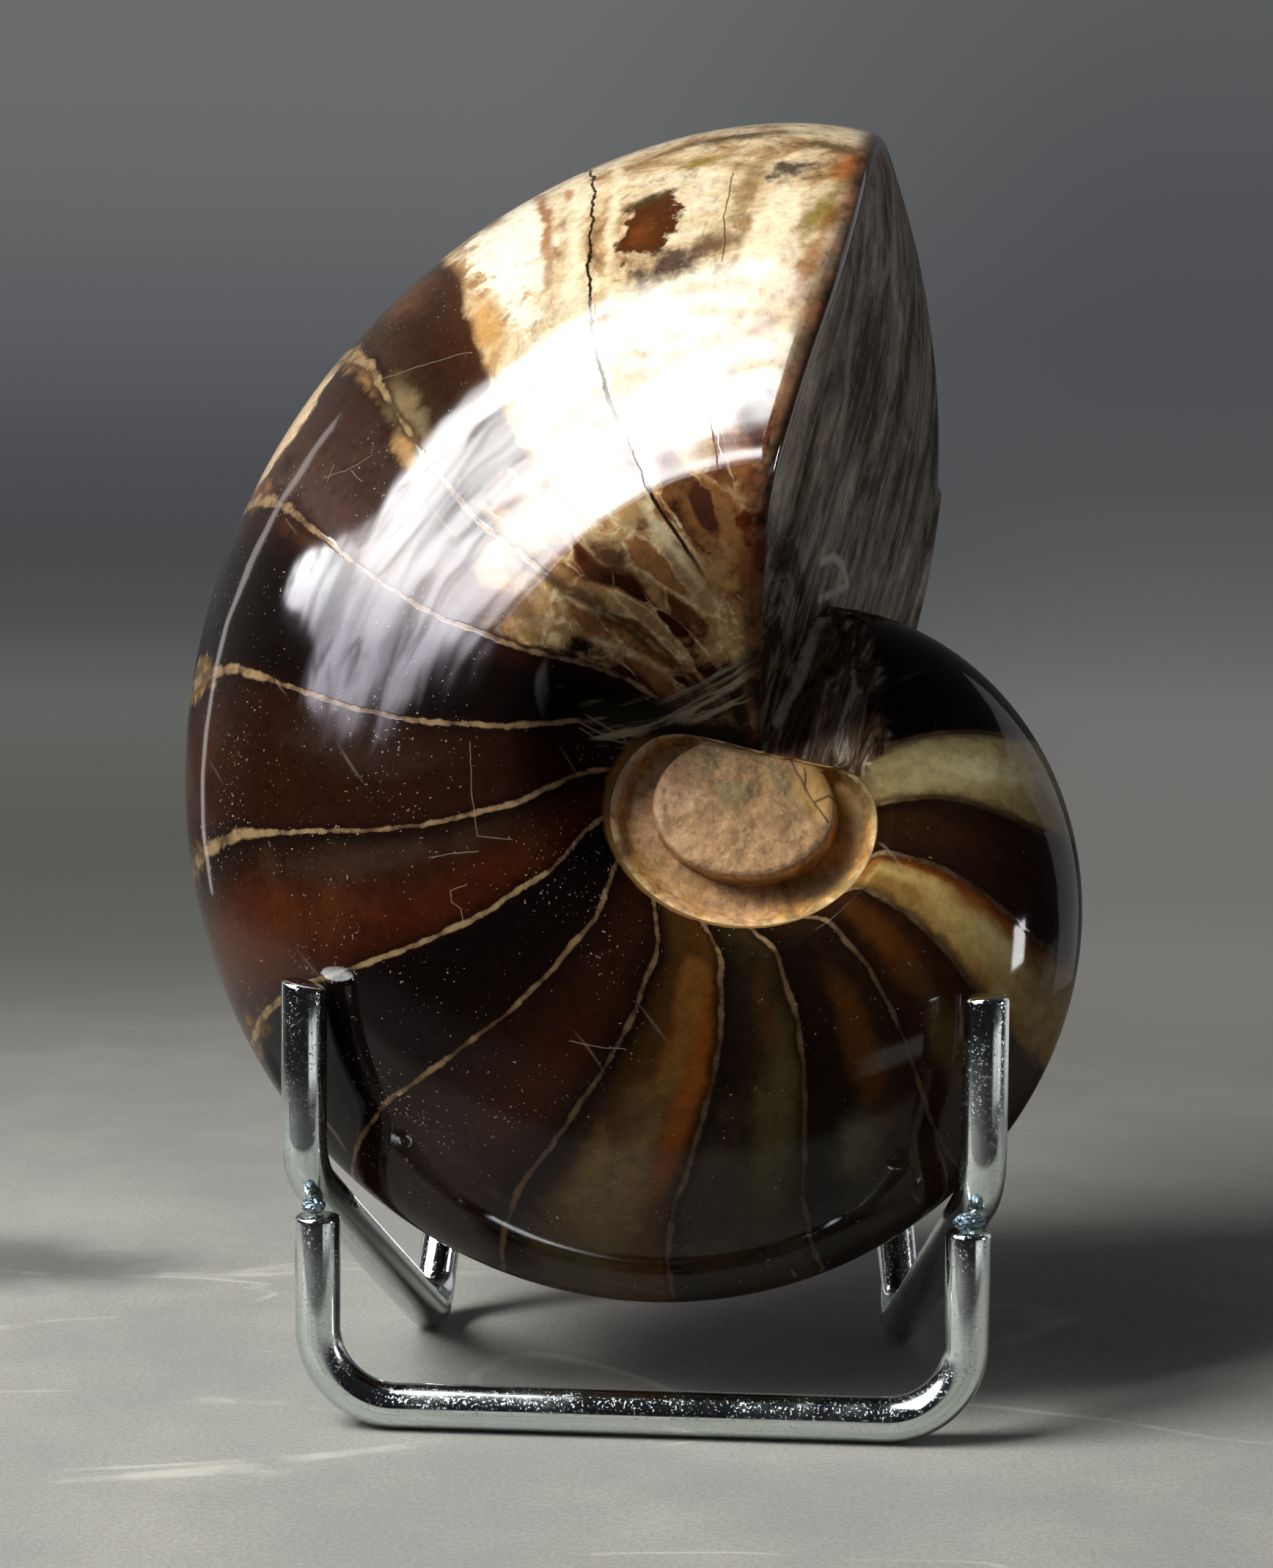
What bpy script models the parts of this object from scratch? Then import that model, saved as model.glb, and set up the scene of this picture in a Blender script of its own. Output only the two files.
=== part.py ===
"""Polished nautilus fossil leaning on a chromed bent-wire stand.

The fossil is one solid: a spiral conch with both flanks, a ground aperture face and
an umbilicus with a raised plug on each side. The stand is two bent wires, the easel
and the foot, joined by two weld beads. Metres, +Z up, front towards -Y, origin under
the middle of the whole part.
"""

import math

import bmesh
import bpy
from mathutils import Matrix, Quaternion, Vector

MM = 0.001

# Conch: a spiral about local +Z, growing clockwise, with its front flank at +Z
APERTURE_ANGLE = math.radians(76.2)
APERTURE_RADIUS = 75.8 * MM
GROWTH_PER_RADIAN = 0.1823
WHORL_HALF_BREADTH = 0.442
WIDEST_AT = 0.377
FLANK_CURVE = 1.18
OVAL = (-0.0047, -0.018, 0.008)

# Lip: the last part of the whorl stands out, then is worn down, and is fuller at the back
LIP_FLARE = 0.016
LIP_FLARE_REACH = 1.3
LIP_WEAR = 0.106
LIP_WEAR_REACH = 0.182
BACK_FULLNESS = 0.5
BACK_FULLNESS_REACH = 0.8

# Aperture face: an oblique cut that falls away towards the venter
CUT_OBLIQUITY = math.radians(8.1)
CUT_OFFSET = 1.4 * MM
CUT_CROWN = 6.6
CUT_CROWN_FROM = 40.0 * MM

# Umbilicus: an oval opening with a flat top, a moat and a raised oval plug
OPENING_RADII = (11.7 * MM, 10.2 * MM)
OPENING_DROP = 1.0 * MM
OPENING_TOP = 6.0 * MM
OPENING_TOP_SLOPE = 0.17
OPENING_BLEND = 8
RIM_HEIGHT = 13.6 * MM
RIM_TILT = 2.6 * MM
RIM_LOW_ANGLE = math.radians(40.0)
SHOULDER_WIDTH = 1.5 * MM
MOAT_DEPTH = 2.2 * MM
PLUG_RADII = (8.1 * MM, 6.9 * MM)
PLUG_HEIGHT = 14.2 * MM
PLUG_SLOPE = (-0.12, -0.15)
PLUG_EDGE = 0.45 * MM

# Mesh density
GROWTH_STEPS = 64
FLANK_STEPS = 10
WALL_STEPS = 3
FACE_STEPS = 5

# Where the fossil rests, relative to the middle of the foot bar
LEAN = math.radians(20.5)
TURN = math.radians(-1.4)
COIL_AXIS_PLACE = (8.6 * MM, 21.4 * MM, 49.8 * MM)

# Wire stand
WIRE_RADIUS = 2.0 * MM
WIRE_SIDES = 12
WIRE_CORNER_RADIUS = WIRE_RADIUS / math.cos(math.pi / WIRE_SIDES)
HOOK_HALF_SPAN = 29.6 * MM
HOOK_TIP_HEIGHT = 39.4 * MM
HOOK_BEND_RADIUS = 6.0 * MM
HOOK_BEND_HEIGHT = 26.0 * MM
REAR_HALF_SPAN = 23.2 * MM
REAR_DEPTH = 34.0 * MM
REAR_BEND_RADIUS = 4.0 * MM
BACK_LEAN = math.radians(23.2)
BACK_HEIGHT = 62.0 * MM
BACK_HALF_SPAN = 17.0 * MM
BACK_CORNER_RADIUS = 11.0 * MM
FOOT_HALF_SPAN = 28.4 * MM
FOOT_HEIGHT = 18.9 * MM
FOOT_BEND_RADIUS = 7.0 * MM
TIP_CHAMFER = 0.5 * MM
BEND_STEP = math.radians(15.0)

# Weld beads: place and radii of each
WELD_LEFT = ((-28.6 * MM, -0.9 * MM, 19.9 * MM), (1.1 * MM, 1.0 * MM, 0.75 * MM))
WELD_RIGHT = ((28.4 * MM, -0.9 * MM, 19.9 * MM), (1.5 * MM, 1.1 * MM, 0.8 * MM))

# The foot bar's middle, measured from the origin
STAND_PLACE = (3.26 * MM, -31.51 * MM)


def make_material(name, colour, roughness, metallic):
    """Return a plain Principled material."""
    material = bpy.data.materials.new(name)
    material.use_nodes = True
    shader = material.node_tree.nodes["Principled BSDF"]
    shader.inputs["Base Color"].default_value = (*colour, 1.0)
    shader.inputs["Roughness"].default_value = roughness
    shader.inputs["Metallic"].default_value = metallic
    return material


def add_object(name, bm, material, sharp_angle):
    """Turn a finished bmesh into a named object, smooth apart from its sharp edges."""
    bmesh.ops.recalc_face_normals(bm, faces=bm.faces)
    mesh = bpy.data.meshes.new(name)
    bm.to_mesh(mesh)
    bm.free()
    mesh.materials.append(material)
    mesh.shade_smooth()
    mesh.set_sharp_from_angle(angle=sharp_angle)
    body = bpy.data.objects.new(name, mesh)
    bpy.context.scene.collection.objects.link(body)
    return body


# ---------------------------------------------------------------- fossil

def opening_radius(angle):
    """Radius of the umbilical opening: an oval cut off by a straight top, blended."""
    across, up = math.cos(angle), math.sin(angle)
    half_width, half_height = OPENING_RADII
    a = (across / half_width) ** 2 + (up / half_height) ** 2
    b = 2.0 * up * OPENING_DROP / half_height ** 2
    c = (OPENING_DROP / half_height) ** 2 - 1.0
    oval = (math.sqrt(b * b - 4.0 * a * c) - b) / (2.0 * a)
    top = OPENING_TOP / max(up + OPENING_TOP_SLOPE * across, 0.001)
    return (oval ** -OPENING_BLEND + top ** -OPENING_BLEND) ** (-1.0 / OPENING_BLEND)


def rim_height(angle):
    """Height of the umbilical rim over the median plane, lowest beside the younger whorl."""
    return RIM_HEIGHT - RIM_TILT * math.cos(angle - RIM_LOW_ANGLE)


def plug_radius(angle):
    """Radius of the plug's edge, kept inside the opening."""
    oval = 1.0 / math.hypot(math.cos(angle) / PLUG_RADII[0], math.sin(angle) / PLUG_RADII[1])
    return min(oval, 0.9 * opening_radius(angle))


def plug_height(x, y):
    """Height of the plug's slightly tilted top at a local point."""
    return PLUG_HEIGHT + PLUG_SLOPE[0] * x + PLUG_SLOPE[1] * y


def shell_point(growth, station):
    """Return a point of the conch's surface.

    growth is the turn in radians, 0 at the aperture and negative towards the younger
    shell. station runs from 2 (front umbilical rim) over 1 (front widest line), 0 (venter)
    and -1 (back widest line) to -2 (back umbilical rim).
    """
    angle = APERTURE_ANGLE - growth
    radius = APERTURE_RADIUS * math.exp(GROWTH_PER_RADIAN * growth)
    opening = opening_radius(angle)
    widest = max(WIDEST_AT * radius, opening + SHOULDER_WIDTH)
    half_breadth = WHORL_HALF_BREADTH * radius
    side = math.copysign(1.0, station)
    if abs(station) > 1.0:
        outwards = 2.0 - abs(station)
        rim = rim_height(angle)
        distance = opening + (widest - opening) * outwards
        height = rim + (half_breadth - rim) * math.sin(0.5 * math.pi * outwards)
    else:
        slant = 0.5 * math.pi * abs(station)
        oval = 1.0 + OVAL[0] * math.sin(angle)
        oval += OVAL[1] * math.cos(2.0 * angle) + OVAL[2] * math.sin(2.0 * angle)
        oval += LIP_FLARE * math.exp(-(growth / LIP_FLARE_REACH) ** 2)
        near = min(growth, 0.1)
        worn = LIP_WEAR * math.exp(near / LIP_WEAR_REACH)
        fuller = BACK_FULLNESS * math.exp(near / BACK_FULLNESS_REACH) if station < 0.0 else 0.0
        venter = radius * oval * (1.0 - worn)
        distance = widest + (venter - widest) * math.cos(slant)
        height = half_breadth * math.sin(slant) ** (FLANK_CURVE * (1.0 - fuller))
    return Vector((distance * math.cos(angle), distance * math.sin(angle), side * height))


def beyond_cut(point):
    """Distance of a point in front of the aperture face, along the growth direction."""
    ahead = point.x * math.sin(APERTURE_ANGLE) - point.y * math.cos(APERTURE_ANGLE)
    outside = max(0.0, math.hypot(point.x, point.y) - CUT_CROWN_FROM)
    face = CUT_OFFSET - math.tan(CUT_OBLIQUITY) * point.z - CUT_CROWN * outside ** 2
    return ahead - face


def growth_at_cut(station, turns_back):
    """Growth angle at which one spiral line of the conch meets the aperture face."""
    growth = -math.tau * turns_back
    for _ in range(30):
        point = shell_point(growth, station)
        growth -= 0.8 * beyond_cut(point) / math.hypot(point.x, point.y)
    return growth


def onto_cut(point):
    """Slide a point along the growth direction onto the aperture face."""
    for _ in range(6):
        gap = beyond_cut(point)
        slide = Vector((math.sin(APERTURE_ANGLE), -math.cos(APERTURE_ANGLE), 0.0))
        point = point - gap * slide
    return point


def section_stations():
    """Stations of one section from the front umbilical rim to the back one."""
    wall = [2.0 - i / WALL_STEPS for i in range(WALL_STEPS)]
    flank = [1.0 - i / FLANK_STEPS for i in range(FLANK_STEPS)]
    front = wall + flank
    return front + [0.0] + [-station for station in reversed(front)]


def conch_rows():
    """Sections along the whorl, then across the aperture face back to the first one."""
    stations = section_stations()
    starts = [growth_at_cut(station, 1) for station in stations]
    ends = [growth_at_cut(station, 0) for station in stations]
    rows = []
    for step in range(GROWTH_STEPS + 1):
        share = step / GROWTH_STEPS
        rows.append([shell_point(start + (end - start) * share, station)
                     for station, start, end in zip(stations, starts, ends)])
    for step in range(1, FACE_STEPS):
        share = step / FACE_STEPS
        rows.append([onto_cut(last.lerp(first, share))
                     for last, first in zip(rows[GROWTH_STEPS], rows[0])])
    return rows


def extrude_chain(bm, chain, edges, places):
    """Extrude a chain of edges and move its new vertices to the given places."""
    grown = bmesh.ops.extrude_edge_only(bm, edges=edges)["geom"]
    new_edges = [item for item in grown if isinstance(item, bmesh.types.BMEdge)]
    links = {}
    for vert in (item for item in grown if isinstance(item, bmesh.types.BMVert)):
        old = next(edge.other_vert(vert) for edge in vert.link_edges if edge.other_vert(vert) in chain)
        links[old] = vert
    new_chain = [links[vert] for vert in chain]
    for vert, place in zip(new_chain, places):
        vert.co = place
    inner = set(new_chain)
    new_edges = [edge for edge in new_edges if edge.verts[0] in inner and edge.verts[1] in inner]
    return new_chain, new_edges


def fill_umbilicus(bm, side):
    """Close one umbilical rim with its moat wall, moat floor and raised plug."""
    rim = [edge for edge in bm.edges if edge.is_boundary and edge.verts[0].co.z * side > 0.0]
    chain = list({vert for edge in rim for vert in edge.verts})
    angles = [math.atan2(vert.co.y, vert.co.x) for vert in chain]

    def ring(radius_at, height_at):
        places = []
        for angle in angles:
            x = radius_at(angle) * math.cos(angle)
            y = radius_at(angle) * math.sin(angle)
            places.append(Vector((x, y, side * height_at(angle, x, y))))
        return places

    def moat_share(angle):
        room = opening_radius(angle) - plug_radius(angle)
        return min(1.0, max(0.0, room / (2.0 * MM) - 0.5))

    def floor_height(angle, x, y):
        deep = rim_height(angle) - MOAT_DEPTH
        shallow = min(rim_height(angle), plug_height(x, y)) - 0.2 * MM
        return shallow + (deep - shallow) * moat_share(angle)

    rings = (
        ring(lambda angle: 0.6 * plug_radius(angle) + 0.4 * opening_radius(angle), floor_height),
        ring(lambda angle: plug_radius(angle) + 0.1 * MM, floor_height),
        ring(plug_radius, lambda angle, x, y: plug_height(x, y) - PLUG_EDGE),
        ring(lambda angle: plug_radius(angle) - PLUG_EDGE, lambda angle, x, y: plug_height(x, y)),
    )
    for places in rings:
        chain, rim = extrude_chain(bm, chain, rim, places)
    bmesh.ops.contextual_create(bm, geom=rim)


def build_fossil(material):
    """The polished conch, one closed solid."""
    bm = bmesh.new()
    rows = conch_rows()
    first = [bm.verts.new(place) for place in rows[0]]
    edges = [bm.edges.new(pair) for pair in zip(first, first[1:])]
    chain = first
    first_edges = edges
    for places in rows[1:]:
        chain, edges = extrude_chain(bm, chain, edges, places)
    bmesh.ops.bridge_loops(bm, edges=edges + first_edges)
    bmesh.ops.remove_doubles(bm, verts=bm.verts, dist=0.01 * MM)
    fill_umbilicus(bm, 1.0)
    fill_umbilicus(bm, -1.0)
    bmesh.ops.triangulate(bm, faces=bm.faces)
    fossil = add_object("fossil", bm, material, math.radians(40.0))
    fossil.location = COIL_AXIS_PLACE
    fossil.rotation_euler = (0.5 * math.pi - LEAN, 0.0, TURN)
    return fossil


# ---------------------------------------------------------------- wire

def arc(centre, radius, start, end, across):
    """Points of an arc in the YZ plane, with X given by a function of Y."""
    steps = max(2, math.ceil(abs(end - start) / BEND_STEP))
    points = []
    for step in range(steps + 1):
        angle = start + (end - start) * step / steps
        y = centre[0] + radius * math.cos(angle)
        z = centre[1] + radius * math.sin(angle)
        points.append(Vector((across(y), y, z)))
    return points


def fillet(before, corner, after, radius):
    """Points of the arc that rounds a corner between two straight runs."""
    first = (before - corner).normalized()
    second = (after - corner).normalized()
    half_angle = 0.5 * first.angle(second)
    middle = corner + (first + second).normalized() * radius / math.sin(half_angle)
    start = corner + first * radius / math.tan(half_angle) - middle
    sweep = math.pi - 2.0 * half_angle
    axis = second.cross(first)
    steps = max(2, math.ceil(sweep / BEND_STEP))
    return [middle + Quaternion(axis, sweep * step / steps) @ start for step in range(steps + 1)]


def easel_path():
    """Centre line of the easel wire from the left hook tip to the right one."""
    hook_centre = (HOOK_BEND_RADIUS, HOOK_BEND_HEIGHT)
    rear_centre = (REAR_DEPTH, WIRE_CORNER_RADIUS + REAR_BEND_RADIUS)
    run = math.dist(hook_centre, rear_centre)
    drop = math.atan2(hook_centre[1] - rear_centre[1], rear_centre[0] - hook_centre[0])
    slope = drop - math.asin((HOOK_BEND_RADIUS - REAR_BEND_RADIUS) / run)

    def across(y):
        share = min(1.0, max(0.0, y / REAR_DEPTH))
        return HOOK_HALF_SPAN + (REAR_HALF_SPAN - HOOK_HALF_SPAN) * share

    half = [Vector((HOOK_HALF_SPAN, 0.0, HOOK_TIP_HEIGHT))]
    half += arc(hook_centre, HOOK_BEND_RADIUS, math.pi, 1.5 * math.pi - slope, across)
    half += arc(rear_centre, REAR_BEND_RADIUS, -0.5 * math.pi - slope, -0.5 * math.pi, across)
    half += arc(rear_centre, REAR_BEND_RADIUS, -0.5 * math.pi, -BACK_LEAN, across)[1:]
    foot = half[-1]
    rise = BACK_HEIGHT - foot.z
    corner = Vector((BACK_HALF_SPAN, foot.y + rise * math.tan(BACK_LEAN), BACK_HEIGHT))
    middle = Vector((0.0, corner.y, corner.z))
    half += fillet(foot, corner, middle, BACK_CORNER_RADIUS)
    mirrored = [Vector((-point.x, point.y, point.z)) for point in half]
    return mirrored + half[::-1]


def foot_path():
    """Centre line of the foot wire: two uprights and the bar on the floor."""
    top = Vector((FOOT_HALF_SPAN, 0.0, FOOT_HEIGHT))
    corner = Vector((FOOT_HALF_SPAN, 0.0, WIRE_RADIUS))
    half = [top] + fillet(top, corner, Vector((0.0, 0.0, WIRE_RADIUS)), FOOT_BEND_RADIUS)
    mirrored = [Vector((-point.x, point.y, point.z)) for point in half]
    return mirrored + half[::-1]


def build_wire(name, path, material):
    """Sweep a round wire along a path, with chamfered ends and its flats facing down."""
    bm = bmesh.new()
    turn = Matrix.Rotation(math.pi / WIRE_SIDES, 4, "Z")
    ring = bmesh.ops.create_circle(bm, segments=WIRE_SIDES, radius=WIRE_CORNER_RADIUS, matrix=turn)
    chain = ring["verts"]
    edges = list({edge for vert in chain for edge in vert.link_edges})
    base = [vert.co.copy() for vert in chain]

    tip = 1.0 - TIP_CHAMFER / WIRE_CORNER_RADIUS
    first_run = (path[1] - path[0]).normalized()
    last_run = (path[-1] - path[-2]).normalized()
    stops = [(path[0], tip), (path[0] + first_run * TIP_CHAMFER, 1.0)]
    stops += [(point, 1.0) for point in path[1:-1]]
    stops += [(path[-1] - last_run * TIP_CHAMFER, 1.0), (path[-1], tip)]

    runs = [(after[0] - before[0]).normalized() for before, after in zip(stops, stops[1:])]
    side = Vector((0.0, 1.0, 0.0))
    for index, (place, scale) in enumerate(stops):
        before = runs[max(0, index - 1)]
        after = runs[min(len(runs) - 1, index)]
        side = before.rotation_difference(after) @ side
        ahead = (before + after).normalized()
        level = (side - ahead * side.dot(ahead)).normalized()
        other = ahead.cross(level)
        places = [place + (level * corner.x + other * corner.y) * scale for corner in base]
        if index == 0:
            bmesh.ops.contextual_create(bm, geom=edges)
            for vert, where in zip(chain, places):
                vert.co = where
        else:
            chain, edges = extrude_chain(bm, chain, edges, places)
    bmesh.ops.contextual_create(bm, geom=edges)
    return add_object(name, bm, material, math.radians(35.0))


def build_weld(name, place, radii, material):
    """A small bead in the crook between a foot upright and the easel wire's bend."""
    bm = bmesh.new()
    bmesh.ops.create_uvsphere(bm, u_segments=12, v_segments=8, radius=1.0)
    bmesh.ops.scale(bm, vec=radii, verts=bm.verts)
    weld = add_object(name, bm, material, math.radians(60.0))
    weld.location = place
    return weld


def main():
    """Build every piece and stand them on the floor."""
    for item in list(bpy.data.objects):
        bpy.data.objects.remove(item, do_unlink=True)
    stone = make_material("polished_fossil", (0.10, 0.05, 0.03), 0.12, 0.0)
    chrome = make_material("zinc_plated_wire", (0.72, 0.74, 0.73), 0.12, 1.0)
    weld = make_material("weld_metal", (0.30, 0.36, 0.42), 0.35, 1.0)
    pieces = [
        build_fossil(stone),
        build_wire("easel_wire", easel_path(), chrome),
        build_wire("foot_wire", foot_path(), chrome),
        build_weld("weld_left", *WELD_LEFT, weld),
        build_weld("weld_right", *WELD_RIGHT, weld),
    ]
    centre = bpy.data.objects.new("part_origin", None)
    bpy.context.scene.collection.objects.link(centre)
    centre.location = (*STAND_PLACE, 0.0)
    for piece in pieces:
        piece.parent = centre


main()
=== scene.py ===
import logging
import math
from dataclasses import dataclass, field
from enum import Enum
from typing import Callable, Iterable, Optional, Sequence, Union

import bmesh
import bpy
from mathutils import Matrix, Quaternion, Vector, noise


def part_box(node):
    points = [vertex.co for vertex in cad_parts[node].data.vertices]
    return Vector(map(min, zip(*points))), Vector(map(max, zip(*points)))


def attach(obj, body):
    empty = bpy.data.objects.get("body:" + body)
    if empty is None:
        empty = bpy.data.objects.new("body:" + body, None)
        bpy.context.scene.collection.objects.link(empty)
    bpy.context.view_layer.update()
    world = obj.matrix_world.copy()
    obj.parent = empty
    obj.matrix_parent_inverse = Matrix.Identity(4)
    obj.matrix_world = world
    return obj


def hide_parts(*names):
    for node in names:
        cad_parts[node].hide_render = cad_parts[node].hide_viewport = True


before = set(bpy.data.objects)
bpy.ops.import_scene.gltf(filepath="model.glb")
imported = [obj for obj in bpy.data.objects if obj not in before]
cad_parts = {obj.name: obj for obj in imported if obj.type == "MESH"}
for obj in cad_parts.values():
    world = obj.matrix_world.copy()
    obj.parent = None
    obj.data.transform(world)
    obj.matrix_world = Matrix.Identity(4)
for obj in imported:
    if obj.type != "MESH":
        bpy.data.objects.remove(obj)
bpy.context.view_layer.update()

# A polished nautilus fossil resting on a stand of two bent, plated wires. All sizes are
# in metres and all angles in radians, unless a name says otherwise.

LOG = logging.getLogger("nautilus")
MM = 0.001
QUARTER_TURN = 0.5 * math.pi
MIDDLE = (0.5, 0.5, 0.5)
FLAT = (1.0, 1.0, 0.0)

Tree = bpy.types.NodeTree
Groups = dict[str, Tree]
Colour = tuple[float, float, float]
Value = Union["Flow", float]
Tint = Union["Flow", str, Colour]
Stops = Sequence[tuple[float, Union[str, Colour]]]


def tone(colour: Union[str, Colour]) -> Colour:
    """Turn a six-digit colour code into linear red, green and blue.

    Args:
        colour: Two hexadecimal digits each for red, green and blue, or a linear colour.

    Returns:
        The linear colour.
    """
    if not isinstance(colour, str):
        return colour
    parts = [int(colour[i:i + 2], 16) / 255.0 for i in (0, 2, 4)]
    return tuple(p / 12.92 if p <= 0.04045 else ((p + 0.055) / 1.055) ** 2.4 for p in parts)


def ease(low: float, high: float, value: float) -> float:
    """Return 0 below low, 1 above high and a smooth step between."""
    share = min(1.0, max(0.0, (value - low) / (high - low)))
    return share * share * (3.0 - 2.0 * share)


def between(stops: Sequence[tuple[float, float]], value: float) -> float:
    """Read a piecewise straight curve.

    Args:
        stops: Points of the curve, in rising order.
        value: Where to read it.

    Returns:
        The curve's height there, held level past its ends.
    """
    if value <= stops[0][0]:
        return stops[0][1]
    for (x0, y0), (x1, y1) in zip(stops, stops[1:]):
        if value <= x1:
            return y0 + (y1 - y0) * (value - x0) / (x1 - x0)
    return stops[-1][1]


class Slot(Enum):
    """Material slots of the part's record."""

    FOSSIL = "polished_fossil"
    WIRE = "plated_wire"
    WELD = "weld_metal"


class Zone(Enum):
    """Kinds of surface on the fossil, by material index."""

    FLANK = 0
    FACE = 1
    UMBILICUS = 2


# ------------------------------------------------------------------ shader helpers

def operator(operation: str, swapped: bool = False) -> Callable:
    """Make a method that puts a flow through a Math node.

    Args:
        operation: What the node does.
        swapped: Whether the other value comes first.

    Returns:
        The method.
    """
    def apply(flow: "Flow", other: Value = 0.0) -> "Flow":
        """Return the result of the node."""
        first, second = (other, flow) if swapped else (flow, other)
        return flow.sheet.read("ShaderNodeMath", {0: first, 1: second}, operation=operation)
    return apply


class Flow:
    """What an output socket gives, so that node sums can be written as formulas."""

    __add__, __radd__ = operator("ADD"), operator("ADD", True)
    __sub__, __rsub__ = operator("SUBTRACT"), operator("SUBTRACT", True)
    __mul__, __rmul__ = operator("MULTIPLY"), operator("MULTIPLY", True)
    __truediv__ = operator("DIVIDE")
    __gt__, __lt__ = operator("GREATER_THAN"), operator("LESS_THAN")
    __abs__, __round__ = operator("ABSOLUTE"), operator("ROUND")
    at_least = operator("MAXIMUM")

    def __init__(self, sheet: "Sheet", socket: bpy.types.NodeSocket) -> None:
        """Keep the socket and the sheet it is on."""
        self.sheet, self.socket = sheet, socket

    def step(self, low: Value, high: Value, start: Value = 0.0, end: Value = 1.0) -> "Flow":
        """Return a smooth step from start, at low, to end, at high."""
        feeds = {"Value": self, "From Min": low, "From Max": high, "To Min": start, "To Max": end}
        return self.sheet.read("ShaderNodeMapRange", feeds, interpolation_type="SMOOTHSTEP")


class Sheet:
    """Adds and joins nodes in one node tree."""

    def __init__(self, tree: Tree) -> None:
        """Keep the tree that nodes are added to."""
        self.tree = tree

    def node(self, kind: str, feeds: Optional[dict] = None, **settings) -> bpy.types.Node:
        """Add a node.

        Args:
            kind: The node's type.
            feeds: Values or flows for its inputs, by name or index.
            **settings: Properties of the node.

        Returns:
            The new node.
        """
        made = self.tree.nodes.new(kind)
        for key, value in settings.items():
            setattr(made, key, value)
        for key, value in (feeds or {}).items():
            self.feed(made.inputs[key], value)
        return made

    def read(self, kind: str, feeds: Optional[dict] = None, output: Union[int, str] = 0,
             **settings) -> Flow:
        """Add a node, as node does, and return one of its outputs."""
        return Flow(self, self.node(kind, feeds, **settings).outputs[output])

    def outputs(self, kind: str, feeds: Optional[dict] = None, **settings) -> dict[str, Flow]:
        """Add a node, as node does, and return all its outputs by name."""
        return {socket.name: Flow(self, socket) for socket in self.node(kind, feeds, **settings).outputs}

    def feed(self, target: bpy.types.NodeSocket, value: Union[Value, Tint, Sequence[float]]) -> None:
        """Join a flow to an input, or set the input's own value."""
        if isinstance(value, Flow):
            self.tree.links.new(value.socket, target)
        else:
            target.default_value = (*tone(value), 1.0) if target.type == "RGBA" else value

    def vector(self, operation: str, a: Flow, b: Union[Flow, Sequence[float]] = (0.0, 0.0, 0.0),
               output: str = "Vector") -> Flow:
        """Return the result of a Vector Math node."""
        return self.read("ShaderNodeVectorMath", {0: a, 1: b}, output, operation=operation)

    def scaled(self, place: Flow, factors: Sequence[float]) -> Flow:
        """Return a place with its three parts scaled."""
        return self.vector("MULTIPLY", place, factors)

    def turned(self, place: Flow, angle: Value) -> Flow:
        """Return a place turned about the upright axis."""
        feeds = {"Vector": place, "Angle": angle}
        return self.read("ShaderNodeVectorRotate", feeds, rotation_type="Z_AXIS")

    def split(self, vector: Flow) -> tuple[Flow, Flow, Flow]:
        """Return the three parts of a vector."""
        return tuple(self.outputs("ShaderNodeSeparateXYZ", {0: vector}).values())

    def combine(self, x: Value, y: Value, z: Value = 0.0) -> Flow:
        """Return a vector made of three parts."""
        return self.read("ShaderNodeCombineXYZ", {0: x, 1: y, 2: z})

    def noise(self, place: Flow, scale: float, detail: float = 3.0, roughness: float = 0.55,
              distortion: float = 0.0) -> Flow:
        """Return a noise value around one half."""
        return self.read("ShaderNodeTexNoise", {"Vector": place, "Scale": scale, "Detail": detail,
                                                "Roughness": roughness, "Distortion": distortion})

    def stir(self, place: Flow, scale: float, detail: float = 2.0) -> Flow:
        """Return a noise with three parts, each around one half."""
        return self.read("ShaderNodeTexNoise", {"Vector": place, "Scale": scale, "Detail": detail}, 1)

    def cells(self, place: Flow, scale: Value = 1.0, feature: str = "F1", **feeds) -> dict[str, Flow]:
        """Return the outputs of a pattern of cells."""
        feeds = {"Vector": place, "Scale": scale, **feeds}
        return self.outputs("ShaderNodeTexVoronoi", feeds, feature=feature)

    def mix(self, factor: Value, a: Tint, b: Tint, blend: str = "MIX") -> Flow:
        """Return a mix of two colours."""
        return self.read("ShaderNodeMix", {0: factor, 6: a, 7: b}, 2, data_type="RGBA", blend_type=blend)

    def ramp(self, factor: Flow, stops: Stops) -> Flow:
        """Return a colour read from a ramp.

        Args:
            factor: Where to read the ramp, 0 to 1.
            stops: Positions and colours, in rising order.

        Returns:
            The colour.
        """
        made = self.node("ShaderNodeValToRGB", {0: factor})
        elements = made.color_ramp.elements
        while len(elements) < len(stops):
            elements.new(0.5)
        for element, (place, _) in zip(elements, stops):
            element.position = place
        for element, (place, colour) in zip(elements, stops):
            element.position = place
            element.color = (*tone(colour), 1.0)
        return Flow(self, made.outputs[0])

    def attribute(self, name: str) -> Flow:
        """Return the vector of a mesh attribute."""
        return self.read("ShaderNodeAttribute", output="Vector", attribute_name=name)


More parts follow.
